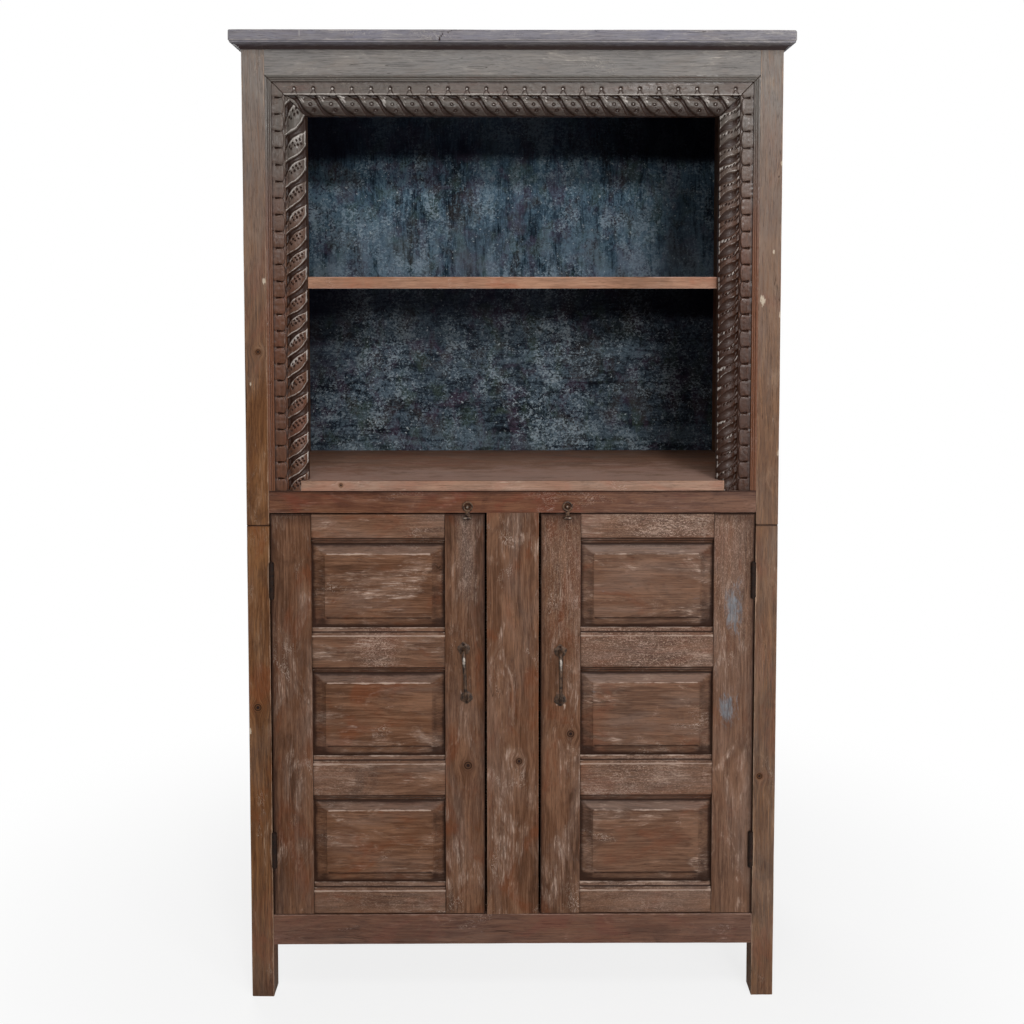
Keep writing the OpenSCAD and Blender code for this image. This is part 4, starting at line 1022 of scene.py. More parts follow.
Rope = collections.namedtuple(
    "Rope", "pitch slack start lean curl half taper scooped rows gap hole deep pale seed")
LEFT_ROPE = Rope(pitch=38 * MM, slack=0.61, start=20.6 * MM, lean=8.5 * MM, curl=5.5 * MM, half=0.37,
                 taper=0.42, scooped=False, rows=((-6.0, 0), (-12.5, 0.5)), gap=6.4, hole=1.75,
                 deep=3.4, pale=1.3, seed=299)
RIGHT_ROPE = Rope(pitch=33.5 * MM, slack=0.0, start=12.2 * MM, lean=-6 * MM, curl=-6 * MM, half=0.31,
                  taper=0.45, scooped=True, rows=((2.8, 0),), gap=6.4, hole=1.9, deep=3.0, pale=1.0, seed=301)
TOP_ROPE = Rope(pitch=37.4 * MM, slack=0.0, start=0, lean=8 * MM, curl=7 * MM, half=0.38, taper=0.40,
                scooped=False, rows=((-12.0, -0.3),), gap=12.0, hole=3.1, deep=3.4, pale=0.6, seed=400)


def rope_surface(u, s, rope):
    """Height of the twisted rope over the post's face, the grime and painted shade on it, and its rubbed rims
    with painted highlights.

    Strands lie one pitch apart, and half is their half width as a share of it. rows, gap, hole and deep say
    where the drilled holes or beads are and how big, in millimetres. pale is how bright the rims are, rubbed
    and with painted highlights.
    """
    single = rope.gap > 10
    across = np.clip((u - ROPE_MIDDLE) / (ROPE_W / 2), -0.999, 0.999)
    arc = ROPE_PROUD - (ROPE_RADIUS - np.sqrt(np.clip(ROPE_RADIUS**2 - (u - ROPE_MIDDLE) ** 2, 0, None)))
    arc = np.where(across < 0, np.maximum(arc, ROPE_FLOOR), arc)
    wander = flat_noise(u, s, (70, 60), rope.seed)
    ragged = flat_noise(u, s, (8, 8), rope.seed + 9)
    eased = s + rope.start - rope.slack * np.clip(s - ROPE_EASES, 0, None) ** 2
    lean = rope.lean * (STEEPER - (STEEPER - 1) * step_up(s, *STEEP_UP_TO))
    phase = (eased - lean * across - rope.curl * across**3) / rope.pitch + 0.10 * wander
    cell = np.round(phase)
    own = cell_value(cell, rope.seed)
    off = phase - cell
    half = rope.half * (1 + 0.06 * own + 0.05 * ragged) * (1 - rope.taper * across**2)
    share = np.clip(np.abs(off) / half, 0, 1)

    # Millimetres past either edge of the nearest strand, past its lower edge and past its upper one
    beyond, under, over = ((far - half) * rope.pitch / MM for far in (np.abs(off), -off, off))
    if rope.scooped:
        relief = -5.2 * (1 - share**2) ** 0.8 * step_up(-beyond, -0.4, 2.0) - 2.0 * step_up(under, 4, 9)
        wear = 0.30 * hump(over, 0.3, 0.9) + (0.38 + 0.50 * ragged) * hump(under, 2.6, 2.0)
        from_bead_edge = under
    else:
        beaded = hump(over, -5.5, 4.5)
        relief = -4.6 * step_up(beyond, -0.6, 3.6) - 1.5 * share**5 - 0.8 * beaded
        wear = 0.75 * hump(under, -0.9, 0.9) + 0.35 * hump(over, -0.8, 0.9) + 0.26 * beaded
        from_bead_edge = over

    # Holes along the strand, each a little out of place
    hole, pip = np.zeros_like(u), np.zeros_like(u)
    slope = (lean + 3 * rope.curl * across**2) / (ROPE_W / 2)
    for middle, stagger in rope.rows:
        bead_phase = (u - ROPE_MIDDLE) / MM / rope.gap + stagger + (0 if single else 0.4 * own)
        beside = (bead_phase - np.floor(bead_phase) - 0.5) * rope.gap
        each = cell_value(cell * 31 + np.floor(bead_phase), rope.seed + 2)
        away = np.hypot(beside + 0.6 * each, from_bead_edge - middle + slope * beside + 0.8 * each)
        hole = np.maximum(hole, np.exp(-(away / (rope.hole * (1 + 0.2 * each))) ** 3))
        pip = np.maximum(pip, np.exp(-(away / (0.45 * rope.hole)) ** 3) * single)
    hole *= step_up(0.76 - np.abs(across), 0, 0.15)
    hole -= pip * hole
    relief -= rope.deep * hole

    # Grime and painted shade in the deep hollows and holes; painted highlights on the rims, the bead cords,
    # the pips in the holes and the top rope's bright streak
    dirt = (0.55 + 0.2 * rope.scooped) * step_up(-relief, 2.2, 5.4) + 0.95 * hole
    wear = rope.pale * (wear - 0.3 * step_up(-relief, 2, 4)) + 1.6 * pip
    if single:
        wear += 0.62 * hump(off, -0.12 - 0.14 * (across + 1), 0.08) * step_up(-across, -0.05, 0.4)
    return arc + relief * MM, dirt + 0.10 * rope.scooped, wear, across


def eyelet_band(u, s):
    """Height of the top's band of drilled eyelets, the grime and painted shade in them, and the painted glint
    in each, in millimetres.
    """
    phase = s / TOP_NOTCH_PITCH + 0.38
    beside = (phase - np.round(phase)) * TOP_NOTCH_PITCH / MM
    inward = (u - BAND_FROM) / MM
    eyelet = np.exp(-(np.hypot(beside, inward - 11.6) / 3.3) ** 4)
    glint = np.exp(-(np.hypot(beside + 0.4, inward - 12.4) / 2.1) ** 4)
    foot = hump(np.abs(beside), 1.2 + 0.50 * (inward - 14.5), 1.0) * step_up(inward, 13.5, 15.5)
    height = -3.2 - 2.6 * eyelet - 1.2 * foot
    return height * MM, 0.8 * eyelet + 0.7 * foot - glint, 1.2 * glint


def lobed_band(u, s):
    """Height of an upright's band of slotted lobes, the grime and painted shade in its slots and round its
    lobes, and the painted highlight under each slot, in millimetres.
    """
    phase = s / NOTCH_PITCH
    beside = (phase - np.round(phase)) * NOTCH_PITCH / MM
    from_edge = 1 - 2 * np.abs(beside * MM / NOTCH_PITCH)
    inward = (u - BAND_FROM) / MM
    own = cell_value(np.round(phase), 7)
    lobe_end = 16.5 + 5.5 * np.sqrt(np.clip(1 - from_edge**3.2, 0, 1))
    on_lobe = step_up(lobe_end - inward, -0.4, 1.0)
    dome = 1.0 * (1 - from_edge**4)
    lower = beside + 0.5 * own + 0.06 * own * (inward - 11)
    taper = 0.55 + (1.1 + 0.4 * own) * np.clip(1 - (inward - 6.0) / 10.0, 0, 1)
    slot = np.exp(-np.abs(lower / taper) ** 2.5) * step_up(inward, 4.8 + own, 6.0 + own)
    slot *= step_up(19.0 + own - inward, 0, 4.0)
    height = -3.6 - 1.6 * (1 - on_lobe) + dome * on_lobe - 3.4 * slot
    # Painted highlight on the lower edge of each slot, where light from above would catch it
    wear = 0.5 * hump(lower, -2.5, 0.8) * step_up(inward, 5, 7) * step_up(18 - inward, 0, 2)
    edge = hump(lobe_end - inward, -0.6, 0.8) * step_up(inward, 15, 19)
    return height * MM, 0.85 * slot + 0.4 * edge, wear


def carved_surface(u, s, rope, top, ends):
    """Height, grime with painted shade, and rubbing with painted highlights of the whole carved section. ends
    is the distance from the mitred ends.
    """

    # Two round fillets beside the plain strip
    height = np.zeros_like(u)
    for i in (0, 1):
        middle = STRIP + FILLET / 4 + i * FILLET / 2
        reach = FILLET / 4
        inside = np.clip(1 - ((u - middle) / reach) ** 2, 0, 1)
        height = np.where(np.abs(u - middle) <= reach, FILLET_ROUND * (np.sqrt(inside) - 1), height)

    # The band, the groove beyond it and the rope
    band, band_grime_and_shade, band_wear_and_highlight = (eyelet_band if top else lobed_band)(u, s)
    in_band = u > BAND_FROM
    height = np.where(in_band, band, height)
    sunk = np.minimum(height, -BAND_SUNK) - 1.4 * MM * step_up(u, BAND_TO - 0.2 * MM, ROPE_FROM - 0.6 * MM)
    height = np.where(u > BAND_TO - 0.4 * MM, sunk, height)
    in_rope = u > ROPE_FROM
    rope_height, rope_grime_and_shade, rope_wear_and_highlight, across = rope_surface(u, s, rope)
    height = np.where(in_rope, rope_height, height)
    dirt = np.where(in_rope, rope_grime_and_shade, in_band * band_grime_and_shade)
    wear = np.where(in_rope, rope_wear_and_highlight, in_band * band_wear_and_highlight)

    # The raised lip beside the opening, the mitred ends and the marks of the tools
    lip = hump(u, CARVE_W - 1.2 * MM, 0.9 * MM) * in_rope
    height += 1.6 * MM * lip
    wear += (1.0 if rope is LEFT_ROPE else 0.6) * lip
    # The top rope's lower half, which faces down, is darkened and kept from brightening: painted shade
    if top:
        dirt += in_rope * 0.50 * step_up(across, -0.6, 0.4)
        wear += 0.9 * hump(u, BAND_TO - 0.6 * MM, 0.9 * MM) - in_rope * step_up(across, 0, 0.5)
    joint = np.exp(-(ends / (0.8 * MM)) ** 2)
    height -= 0.9 * MM * joint
    dirt += 0.8 * joint
    height += 0.22 * MM * flat_noise(u, s, (5, 5), rope.seed + 3)
    height += 0.45 * MM * flat_noise(u, s, (16, 30), rope.seed + 4)
    return np.minimum(height, ROPE_PROUD - 0.02 * MM), dirt, wear


def carved_colours(u, z, dirt, wear, grime=0.0):
    """The upper carving is grey; the strip beside the post below is as warm as the post."""
    share = step_up(z, *CARVING_GREYS_Z)
    strip = 1 - step_up(u, BAND_FROM - 1 * MM, BAND_FROM + 0.6 * MM)
    return {
        "dirt": dirt + grime * (1 - share) * (1 - strip),
        "wear": wear,
        "tint": 0.75 * share + 0.25 * share * strip + 0.15 * (u > ROPE_FROM),
        "paint": (0.25 + grime + 0.60 * strip) * (1 - share),
    }


def make_carving():
    """Two upright lengths and the top, mitred at the corners."""
    lines = np.concatenate([
        [0, 1.5 * MM, 3.2 * MM],
        np.linspace(STRIP, BAND_FROM, 13),
        np.linspace(BAND_FROM + 0.4 * MM, ROPE_FROM - 0.3 * MM, 30),
        np.linspace(ROPE_FROM + 0.1 * MM, CARVE_W, 44),
    ])
    low_z, high_z = SILL_LOW.z, HEADER_LOW.z
    tall = high_z - low_z
    looks = {"cavity": (3, 8), "rub": 0.25, "soil": 0.6}
    for side, rope, grime in ((LEFT, LEFT_ROPE, 0.20), (RIGHT, RIGHT_ROPE, 0.56)):
        u, t = np.meshgrid(lines, np.linspace(0, 1, int(tall / CARVE_STEP)), indexing="ij")
        s = t * (tall - u)
        height, dirt, wear = carved_surface(u, s + FIRST_TURN, rope, False, tall - u - s)

        def place(across, along, depth, side=side):
            return np.stack([side * (POST_IN - across), FACE_Y + depth, low_z + along], -1)

        over_sill = (u > CARVE_W - HORN) & (s < SILL_HIGH.z - low_z + 0.3 * MM)
        depth = np.where(over_sill, np.maximum(-height, 6 * MM), -height)
        slab(f"carved_frame_{SIDES[side]}", place, u, s, depth, RAIL_BACK_Y - FACE_Y, "z", CARVED_WOOD,
             painted=carved_colours(u, low_z + s, dirt, wear, grime), **looks)
    u, t = np.meshgrid(lines, np.linspace(-1, 1, int(2 * POST_IN / CARVE_STEP)), indexing="ij")
    s = t * (POST_IN - u)
    height, dirt, wear = carved_surface(u, s, TOP_ROPE, True, POST_IN - u - np.abs(s))

    def place_top(across, along, depth):
        return np.stack([along, FACE_Y + depth, high_z - across], -1)

    slab("carved_frame_top", place_top, u, s, -height, RAIL_BACK_Y - FACE_Y, "x", CARVED_WOOD,
         painted=carved_colours(u, high_z - u, dirt, wear), **looks)


make_carving()


# Doors

MOULDING = [(0.0, 1.0), (0.45, 0.70), (0.65, 0.25), (0.985, 0.20), (1.0, 0.0)]
DOOR_TOP_Z, DOOR_BOTTOM_Z = DOOR_HIGH.z, DOOR_LOW.z
PANEL_X0, PANEL_X1 = DOOR_LOW.x + STILE_W, DOOR_HIGH.x - STILE_W
PANEL_W = PANEL_X1 - PANEL_X0
BEVEL_LIP = 0.6 * MM
RAIL_FLAKES = {LEFT: [(0.3, 0.5, 0.5), (0.3, 0.8, 0.3), (0.9, 0.5, 0.14), (0.3, 0.1, 0.2)],
               RIGHT: [(0.4, 0.5, 0.5), (0.5, 0.5, 0.5), (0.8, 0.5, 0.6), (1.0, 0.65, 0.4)]}
HANDLE_ENDS = {LEFT: [(-0.0924, 0.677), (-0.0876, 0.585)], RIGHT: [(0.090, 0.672), (0.090, 0.580)]}
DOOR_KNOTS = {"left_door_lock_stile": [((-0.085, FACE_Y, 0.452), 11 * MM, "z")],
              "right_door_lock_stile": [((0.11, FACE_Y, 0.513), 10 * MM, "z")]}
BLUE_MARKS = ((0.75, 0.05, 0.418), (0.56, 0.035, 0.41))
FLAKED_X, FLAKED_Z = 0.088, (0.74, 0.84)
GREY_STILE_X = (0.30, 0.42)


def in_door(side, low_z):
    """How a rail's or panel's grids turn into points of the left or right door."""
    def place(across, along, deep):
        return np.stack([side * (PANEL_X0 + along), FACE_Y + deep, low_z + across], -1)
    return place


def moulding_depth(share):
    """Depth of a rail's moulding, from the panel to the plain face."""
    heights, depths = zip(*MOULDING)
    return MOULD_SUNK * np.interp(share, heights, depths)


def rail_piece(node, side, low_z, below, face_h, above, seed, flaked, name=None):
    """A door rail: a plain face between mouldings, butted against the stiles.

    flaked is the amount of curled paint flakes, where along the rail they are and how far they reach.
    """
    full = below + face_h + above
    mouldings = [(start, sign * edge) for edge, sign, start in ((below, 1, 0), (above, -1, full)) if edge]
    tight = [start + share * edge for start, edge in mouldings for share, _ in MOULDING[1:]]
    z_lines = lines_through(sorted({0, full, *tight}), 2.5 * MM, tight)
    x_lines = lines_through([JOINT, 1.2 * MM, PANEL_W - 1.2 * MM, PANEL_W - JOINT], 5 * MM)
    z, x = np.meshgrid(z_lines, x_lines, indexing="ij")
    ends = np.minimum(x - x.min(), x.max() - x)
    depth, wear = np.zeros_like(z), np.zeros_like(z)
    dirt = 0.25 * hump(ends, 0, 5 * MM)
    if below:
        depth = np.where(z < below, moulding_depth(z / below), depth)
        # The lower moulding faces down under the rail: painted shade on it and a dark line along its top edge
        dirt += 0.38 * step_up(below - z, -0.5 * MM, 0.5 * MM) + 0.7 * hump(z, below - 0.6 * MM, 1.2 * MM)
    if above:
        depth = np.where(z > full - above, moulding_depth((full - z) / above), depth)
        wear += 1.25 * hump(z, full - above + 0.6 * MM, 1.5 * MM)
        wear += 1.2 * hump(z, full - 0.06 * above, 1.4 * MM)
        dirt += 0.30 * hump(z, full - 0.55 * above, 3 * MM)
    depth += 0.35 * MM * (0.5 + 0.5 * flat_noise(x, z, (70, 25), seed, 3))
    depth += 0.9 * MM * np.clip(1 - ends / (1.2 * MM), 0, 1) ** 2
    for moulded, from_edge in ((below, z), (above, full - z)):
        if not moulded:
            depth += 1.4 * MM * np.clip(1 - from_edge / (2.4 * MM), 0, 1) ** 2
    amount, middle, reach = flaked
    flakes = amount * hump(x / PANEL_W, middle, reach) * step_up(z, below, below + 4 * MM)
    slab(node, in_door(side, low_z), z, x, depth, DOOR_BACK_Y - FACE_Y, "x", DOOR_WOOD, name,
         painted={"dirt": dirt, "wear": wear, "flaked": flakes, "tint": 0.12 + 0.35 * flakes})


def panel_piece(node, side, low_z, high, seed, name):
    """A raised panel: a plain field inside a bevel on all four sides."""
    lines, slopes = [], []
    for span, bevel in ((PANEL_W, BEVEL_SIDE), (high, BEVEL_END)):
        far = span - bevel
        marks = [-TONGUE, 0, bevel - BEVEL_LIP, bevel, far, far + BEVEL_LIP, span, span + TONGUE]
        lines.append(lines_through(marks, 4 * MM, [bevel, far]))
    z, x = np.meshgrid(lines[1], lines[0], indexing="ij")
    for value, span, bevel in ((x, PANEL_W, BEVEL_SIDE), (z, high, BEVEL_END)):
        slopes.append(np.interp(np.minimum(value, span - value), [0, bevel - BEVEL_LIP, bevel],
                                [PANEL_EDGE, FIELD_SUNK + FIELD_STEP, FIELD_SUNK]))
    depth = np.maximum(*slopes) + 0.5 * MM * (0.5 + 0.5 * flat_noise(x, z, (80, 35), seed, 3))
    depth = np.minimum(depth, PANEL_EDGE + 0.2 * MM)

    right, top = PANEL_W - BEVEL_SIDE, high - BEVEL_END
    in_width = step_up(np.minimum(x - BEVEL_SIDE, right - x), 0, 4 * MM)
    near_edge = np.minimum(np.minimum(x, PANEL_W - x), np.minimum(z, high - z))
    off_side = np.maximum(BEVEL_SIDE - x, x - right)
    inside_mitre = (z - top) / BEVEL_END - off_side / BEVEL_SIDE
    top_bevel = step_up(z, top, top + 1 * MM) * step_up(inside_mitre, -0.1, 0.1)
    side_bevel = step_up(off_side, -2 * MM, 3 * MM) * (1 - top_bevel)
    low_bevel = step_up(BEVEL_END - z, 0, 2 * MM)
    patchy = 0.5 + 0.5 * flat_noise(x, z, (22, 30), seed + 20, 3)
    soft = hump(off_side, -1 * MM, 7 * MM) * (1 - top_bevel)
    bright, dusty, grey = (1.1, 0.24, 0) if side == LEFT else (0.75, 0.10, 0.18)
    # Painted shade along the panel's edges, on its side and lower bevels, softly beside the sides and in a
    # line along the foot of the field
    dirt = 0.62 * hump(near_edge, -1 * MM, 4 * MM) + (0.20 + 0.22 * patchy) * side_bevel + 0.30 * low_bevel
    dirt += 0.55 * hump(z, BEVEL_END - 0.8 * MM, 1.5 * MM) * in_width + 0.16 * soft * patchy
    dirt += dusty * top_bevel
    wear = bright * hump(z, top + 0.2 * MM, 0.9 * MM) * in_width * (0.45 + 0.9 * patchy)
    slab(node, in_door(side, low_z), z, x, depth, PANEL_BACK, "x", DOOR_WOOD, name,
         painted={"dirt": dirt, "wear": wear, "tint": 0.55 * top_bevel + grey})


def handled_stile(side):
    """Grime and painted shade beside the door's gaps, pale rings round the handle's ends and traces of blue
    paint.
    """
    def tint(points, layers):
        x, _, z = points.T
        across = np.abs(x)
        gap = np.minimum(np.minimum(across - DOOR_LOW.x, DOOR_HIGH.x - across), DOOR_TOP_Z - z)
        # Darker beside the gaps: grime and painted shade
        at_least(layers, "dirt", 0.55 * hump(gap, 0, 3 * MM) + 0.15 * hump(gap, 0, 14 * MM))
        for end_x, end_z in HANDLE_ENDS[side]:
            at_least(layers, "wear", 0.75 * hump(np.hypot(x - end_x, z - end_z), 12 * MM, 3.5 * MM))
        if side == LEFT:
            column = hump(across, FLAKED_X, 13 * MM) * step_up(z, *FLAKED_Z)
            layers["flaked"] = 0.9 * column
            layers["tint"] = 0.9 * column
            layers["dirt"] += 0.12 * column + 0.21
        else:
            outer = step_up(across, *GREY_STILE_X)
            layers["dirt"] += 0.19 - 0.06 * outer
            layers["flaked"] = 0.45 * step_up(z, 0.55, 0.9)
            layers["tint"] = 0.22 * outer
            for mark_z, reach_z, mark_x in BLUE_MARKS:
                at_least(layers, "paint", hump(np.hypot((z - mark_z) / reach_z, (x - mark_x) / 0.02), 0, 1))
    return tint


def make_door(side, word):
    """Stiles, rails and three raised panels, tenoned together."""
    top_full = TOP_RAIL_H + MOULD_BELOW
    cross_full = MOULD_ABOVE + CROSS_RAIL_H + MOULD_BELOW
    bottom_full = MOULD_ABOVE + BOTTOM_RAIL_H
    light_h = (DOOR_TOP_Z - DOOR_BOTTOM_Z - top_full - 2 * cross_full - bottom_full) / 3
    light_z = [DOOR_BOTTOM_Z + bottom_full + i * (light_h + cross_full) for i in range(3)]
    seed = 500 + side * 40
    for part, x_low, x_high in (("lock", DOOR_LOW.x + GAP_WORN, PANEL_X0), ("hinge", PANEL_X1, DOOR_HIGH.x)):
        node = f"{word}_door_{part}_stile"
        a, b = sorted((side * x_low, side * x_high))
        board(node, (a, FACE_Y, DOOR_BOTTOM_Z), (b, DOOR_BACK_Y, DOOR_TOP_Z), "z", DOOR_WOOD, radius=1.8 * MM,
              step=7 * MM, knots=DOOR_KNOTS.get(node, ()), tint=handled_stile(side), worn=0.45)
    bottom, lower, upper, top = RAIL_FLAKES[side]
    door = f"{word}_door"
    rail_piece(f"{door}_top_rail", side, DOOR_TOP_Z - top_full, MOULD_BELOW, TOP_RAIL_H, 0, seed, top)
    rail_piece(f"{door}_bottom_rail", side, DOOR_BOTTOM_Z, 0, BOTTOM_RAIL_H, MOULD_ABOVE, seed + 1, bottom)
    for i, flakes in enumerate((lower, upper)):
        rail_piece(f"{door}_cross_rails", side, light_z[i] + light_h, MOULD_BELOW, CROSS_RAIL_H, MOULD_ABOVE,
                   seed + 2 + i, flakes, f"{door}_cross_rail_{i + 1}_wood")
    for i in range(3):
        panel_piece(f"{door}_panels", side, light_z[i], light_h, seed + 6 + i, f"{door}_panel_{i + 1}_wood")


for door_side, door_word in SIDES.items():
    make_door(door_side, door_word)


# Ironwork

HANDLE_REACH = 30 * MM
HANDLE_SPAN = 92 * MM
BAR_TOP_R = 4.5 * MM
BAR_FOOT_R = 3.2 * MM
BAR_BEND = 13 * MM
LEAF_R = 12.2 * MM
HANDLES = {LEFT: (-0.090, 0.631, 3.0), RIGHT: (0.090, 0.626, 0.0)}
FLIP = np.diag([1.0, 1.0, -1.0])
DOMED_LEAF = [(0.0, 0.0), (0.97, 0.0), (1.0, -0.4 * MM), (0.98, -1.2 * MM), (0.86, -1.8 * MM),
              (0.45, -1.9 * MM), (0.0, -2.0 * MM)]
LATCH_X = {LEFT: -0.085, RIGHT: 0.103}
LATCH_Z = 0.928
PIN_Y = FACE_Y - 5 * MM
HASP_RISE = 21 * MM
RING_R, RING_HOLE_R, RING_T = 10 * MM, 6.25 * MM, 2.5 * MM
PLATE_Y = FACE_Y - 0.4 * MM
TONGUE_W = 9 * MM
EYE_R = 3.4 * MM
EYE_W = 10.4 * MM
WIRE_R = 1.5 * MM
STAPLE_W = 14 * MM
STUD_R = 5 * MM
STUD_SHARE = 0.97
RING_PROFILE = [(0.0, -0.5 * MM), (0.15, -0.1 * MM), (0.85, -0.1 * MM), (1.0, -0.6 * MM), (1.0, -1.9 * MM),
                (0.80, -2.4 * MM), (0.25, -2.4 * MM), (0.0, -1.9 * MM)]


def tube(path, radii, count=14):
    """Points and faces of a round bar along a path, with slightly domed ends."""
    path = np.array(path, float)
    heading = np.gradient(path, axis=0)
    heading /= np.linalg.norm(heading, axis=1, keepdims=True)
    up = np.array([1.0, 0.0, 0.0])
    if abs(heading[0] @ up) > 0.9:
        up = np.array([0.0, 0.0, 1.0])
    turn = np.linspace(0, 2 * np.pi, count, endpoint=False)
    rings = []
    for at, ahead, radius in zip(path, heading, radii):
        right = np.cross(ahead, up)
        right /= np.linalg.norm(right)
        round_axis = np.outer(np.cos(turn), right) + np.outer(np.sin(turn), np.cross(right, ahead))
        rings.append(at + radius * round_axis)
    domes = [path[:1] - heading[:1] * radii[0] * 0.25, path[-1:] + heading[-1:] * radii[-1] * 0.25]
    points = np.concatenate(rings + domes)
    first, last = len(points) - 2, len(points) - 1
    end = (len(path) - 1) * count
    faces = strips(len(path), count)
    faces += [[(j + 1) % count, j, first] for j in range(count)]
    faces += [[end + j, end + (j + 1) % count, last] for j in range(count)]
    return points, faces


def disc(outline, profile, hole=0.0, count=48):
    """A flat forging: a radius for each angle, and (share of the radius, height) pairs for its profile."""
    turn = np.linspace(0, 2 * np.pi, count, endpoint=False)
    rings = []
    for share, height in profile:
        radius = hole + (outline(turn) - hole) * share
        rings.append(np.stack([radius * np.cos(turn), np.full(count, height), radius * np.sin(turn)], -1))
    return np.concatenate(rings), strips(len(rings), count, "joined" if hole else "capped")


def bulge(turn, at, reach):
    """1 where an outline's angle is this one, falling off on both sides."""
    return hump(np.angle(np.exp(1j * (turn - at))), 0, reach)


def leaf(turn):
    """Outline of a handle's end: a round plate with a leaf point above and two small ears."""
    ears = sum(1.8 * MM * bulge(turn, at, 0.36) for at in (0.32, np.pi - 0.32))
    return LEAF_R - 1.2 * MM + 3.2 * MM * bulge(turn, np.pi / 2, 0.34) + ears


def heart(turn):
    """Outline of a handle's foot: two round lobes and a point."""
    return leaf(turn) - 0.8 * MM * bulge(turn, np.pi / 2, 0.2)


def round_plate(turn):
    """Outline of a hasp's ring."""
    return np.full(len(turn), RING_R)


def hammered(turn):
    """Outline of a stud, slightly out of round."""
    return STUD_R * (STUD_SHARE + 0.02 * np.cos(5 * turn))


def iron_piece(node, shells, material, faded=False):
    """One forging from several closed shells, rubbed bright in front with a painted highlight; faded leaves
    its lower part dark.
    """
    points, faces = np.zeros((0, 3)), []
    for shell_points, shell_faces in shells:
        faces += [[len(points) + i for i in face] for face in wound_outward(shell_points, shell_faces)]
        points = np.concatenate([points, shell_points])
    _, y, z = points.T
    # Painted highlight, with some rubbing, on the frontmost points; the pale rim at the wood is chalky
    # residue
    wear = 0.9 * hump(y, y.min(), 1.7 * MM)
    if faded:
        low, tall = z.min(), z.max() - z.min()
        wear *= step_up(z, low + 0.35 * tall, low + 0.85 * tall)
    wear += 0.5 * step_up(y, FACE_Y - 1.5 * MM, FACE_Y - 0.3 * MM)
    layers = {"wear": wear if faded else 0.6 * wear}
    declare(make_mesh(node + "_forged", points, faces, layers), node, material)


def moved(shell, at, turn=np.eye(3)):
    """A shell carried to a place, after turning it by a matrix."""
    points, faces = shell
    return points @ turn.T + np.array(at), faces


def make_handle(side, word):
    """A bar that tapers to its foot, drawn out at both ends into nailed leaves."""
    x, z, lean = HANDLES[side]
    bar_y = BAR_TOP_R - HANDLE_REACH
    half = HANDLE_SPAN / 2
    bend = np.linspace(0, np.pi / 2, 9)
    top = [(0, y, half) for y in np.linspace(-0.4 * MM, bar_y + BAR_BEND, 4)[:-1]]
    top += [(0, bar_y + BAR_BEND * (1 - math.sin(t)), half - BAR_BEND * (1 - math.cos(t))) for t in bend]
    foot = [(0, y, -height) for _, y, height in reversed(top)]
    middle = [(0, bar_y, h) for h in np.linspace(half - BAR_BEND, BAR_BEND - half, 14)[1:-1]]
    path = np.array(top + middle + foot)
    share = (half - path[:, 2]) / HANDLE_SPAN
    swell = 1 - 0.10 * hump(share, 0.42, 0.16)
    radii = (BAR_TOP_R + (BAR_FOOT_R - BAR_TOP_R) * share) * swell - 0.1 * MM
    tilt = math.radians(lean)
    turn = np.array([[math.cos(tilt), 0, -math.sin(tilt)], [0, 1, 0], [math.sin(tilt), 0, math.cos(tilt)]])
    shells = [tube(path, radii), moved(disc(leaf, DOMED_LEAF), (0, 0, half)),
              moved(disc(heart, DOMED_LEAF), (0, 0, -half), FLIP)]
    shells = [moved(shell, (x, FACE_Y, z), turn) for shell in shells]
    iron_piece(f"{word}_handle", shells, HANDLE_IRON, faded=True)


def make_hasp(side, word):
    """A ring on a short tongue that turns on the staple."""
    x = LATCH_X[side]
    ring = moved(disc(round_plate, RING_PROFILE, hole=RING_HOLE_R), (x, PLATE_Y, LATCH_Z + HASP_RISE))
    rise = np.linspace(0.5 * MM, HASP_RISE - RING_HOLE_R - 1.5 * MM, 6)
    t, a = np.meshgrid(rise, np.linspace(-1, 1, 7), indexing="ij")
    waist = TONGUE_W / 2 * (1 - 0.22 * hump(t, HASP_RISE * 0.35, 4 * MM))
    crown = 0.5 * MM * (1 - a**2)
    front = np.stack([x + a * waist, PLATE_Y - RING_T + 0.6 * MM - crown, LATCH_Z + t], -1)
    back = np.stack([x + a * waist, np.full_like(t, PLATE_Y), LATCH_Z + t], -1)
    reach = EYE_W / 2 - 0.6 * MM
    eye_path = [(x + at, PIN_Y, LATCH_Z) for at in np.linspace(-reach, reach, 6)]
    eye = tube(eye_path, [EYE_R * share for share in (0.88, 0.98, 0.97, 0.97, 0.98, 0.88)], 18)
    iron_piece(f"{word}_hasp", [ring, slab_mesh(front, back)[:2], eye], LATCH_IRON)


def make_staple(side, word):
    """A bent wire driven into the top rail of the door."""
    x = LATCH_X[side]
    start = x - STAPLE_W / 2
    turn = np.linspace(0, np.pi / 2, 5)
    path = [(start, FACE_Y + 3 * MM, LATCH_Z), (start, PIN_Y + WIRE_R, LATCH_Z)]
    for t in turn[1:]:
        path.append((start + WIRE_R * (1 - math.cos(t)), PIN_Y + WIRE_R * (1 - math.sin(t)), LATCH_Z))
    path += [(2 * x - px, py, pz) for px, py, pz in reversed(path)]
    iron_piece(f"{word}_latch_staple", [tube(path, [WIRE_R - 0.05 * MM] * len(path), 12)], LATCH_IRON)


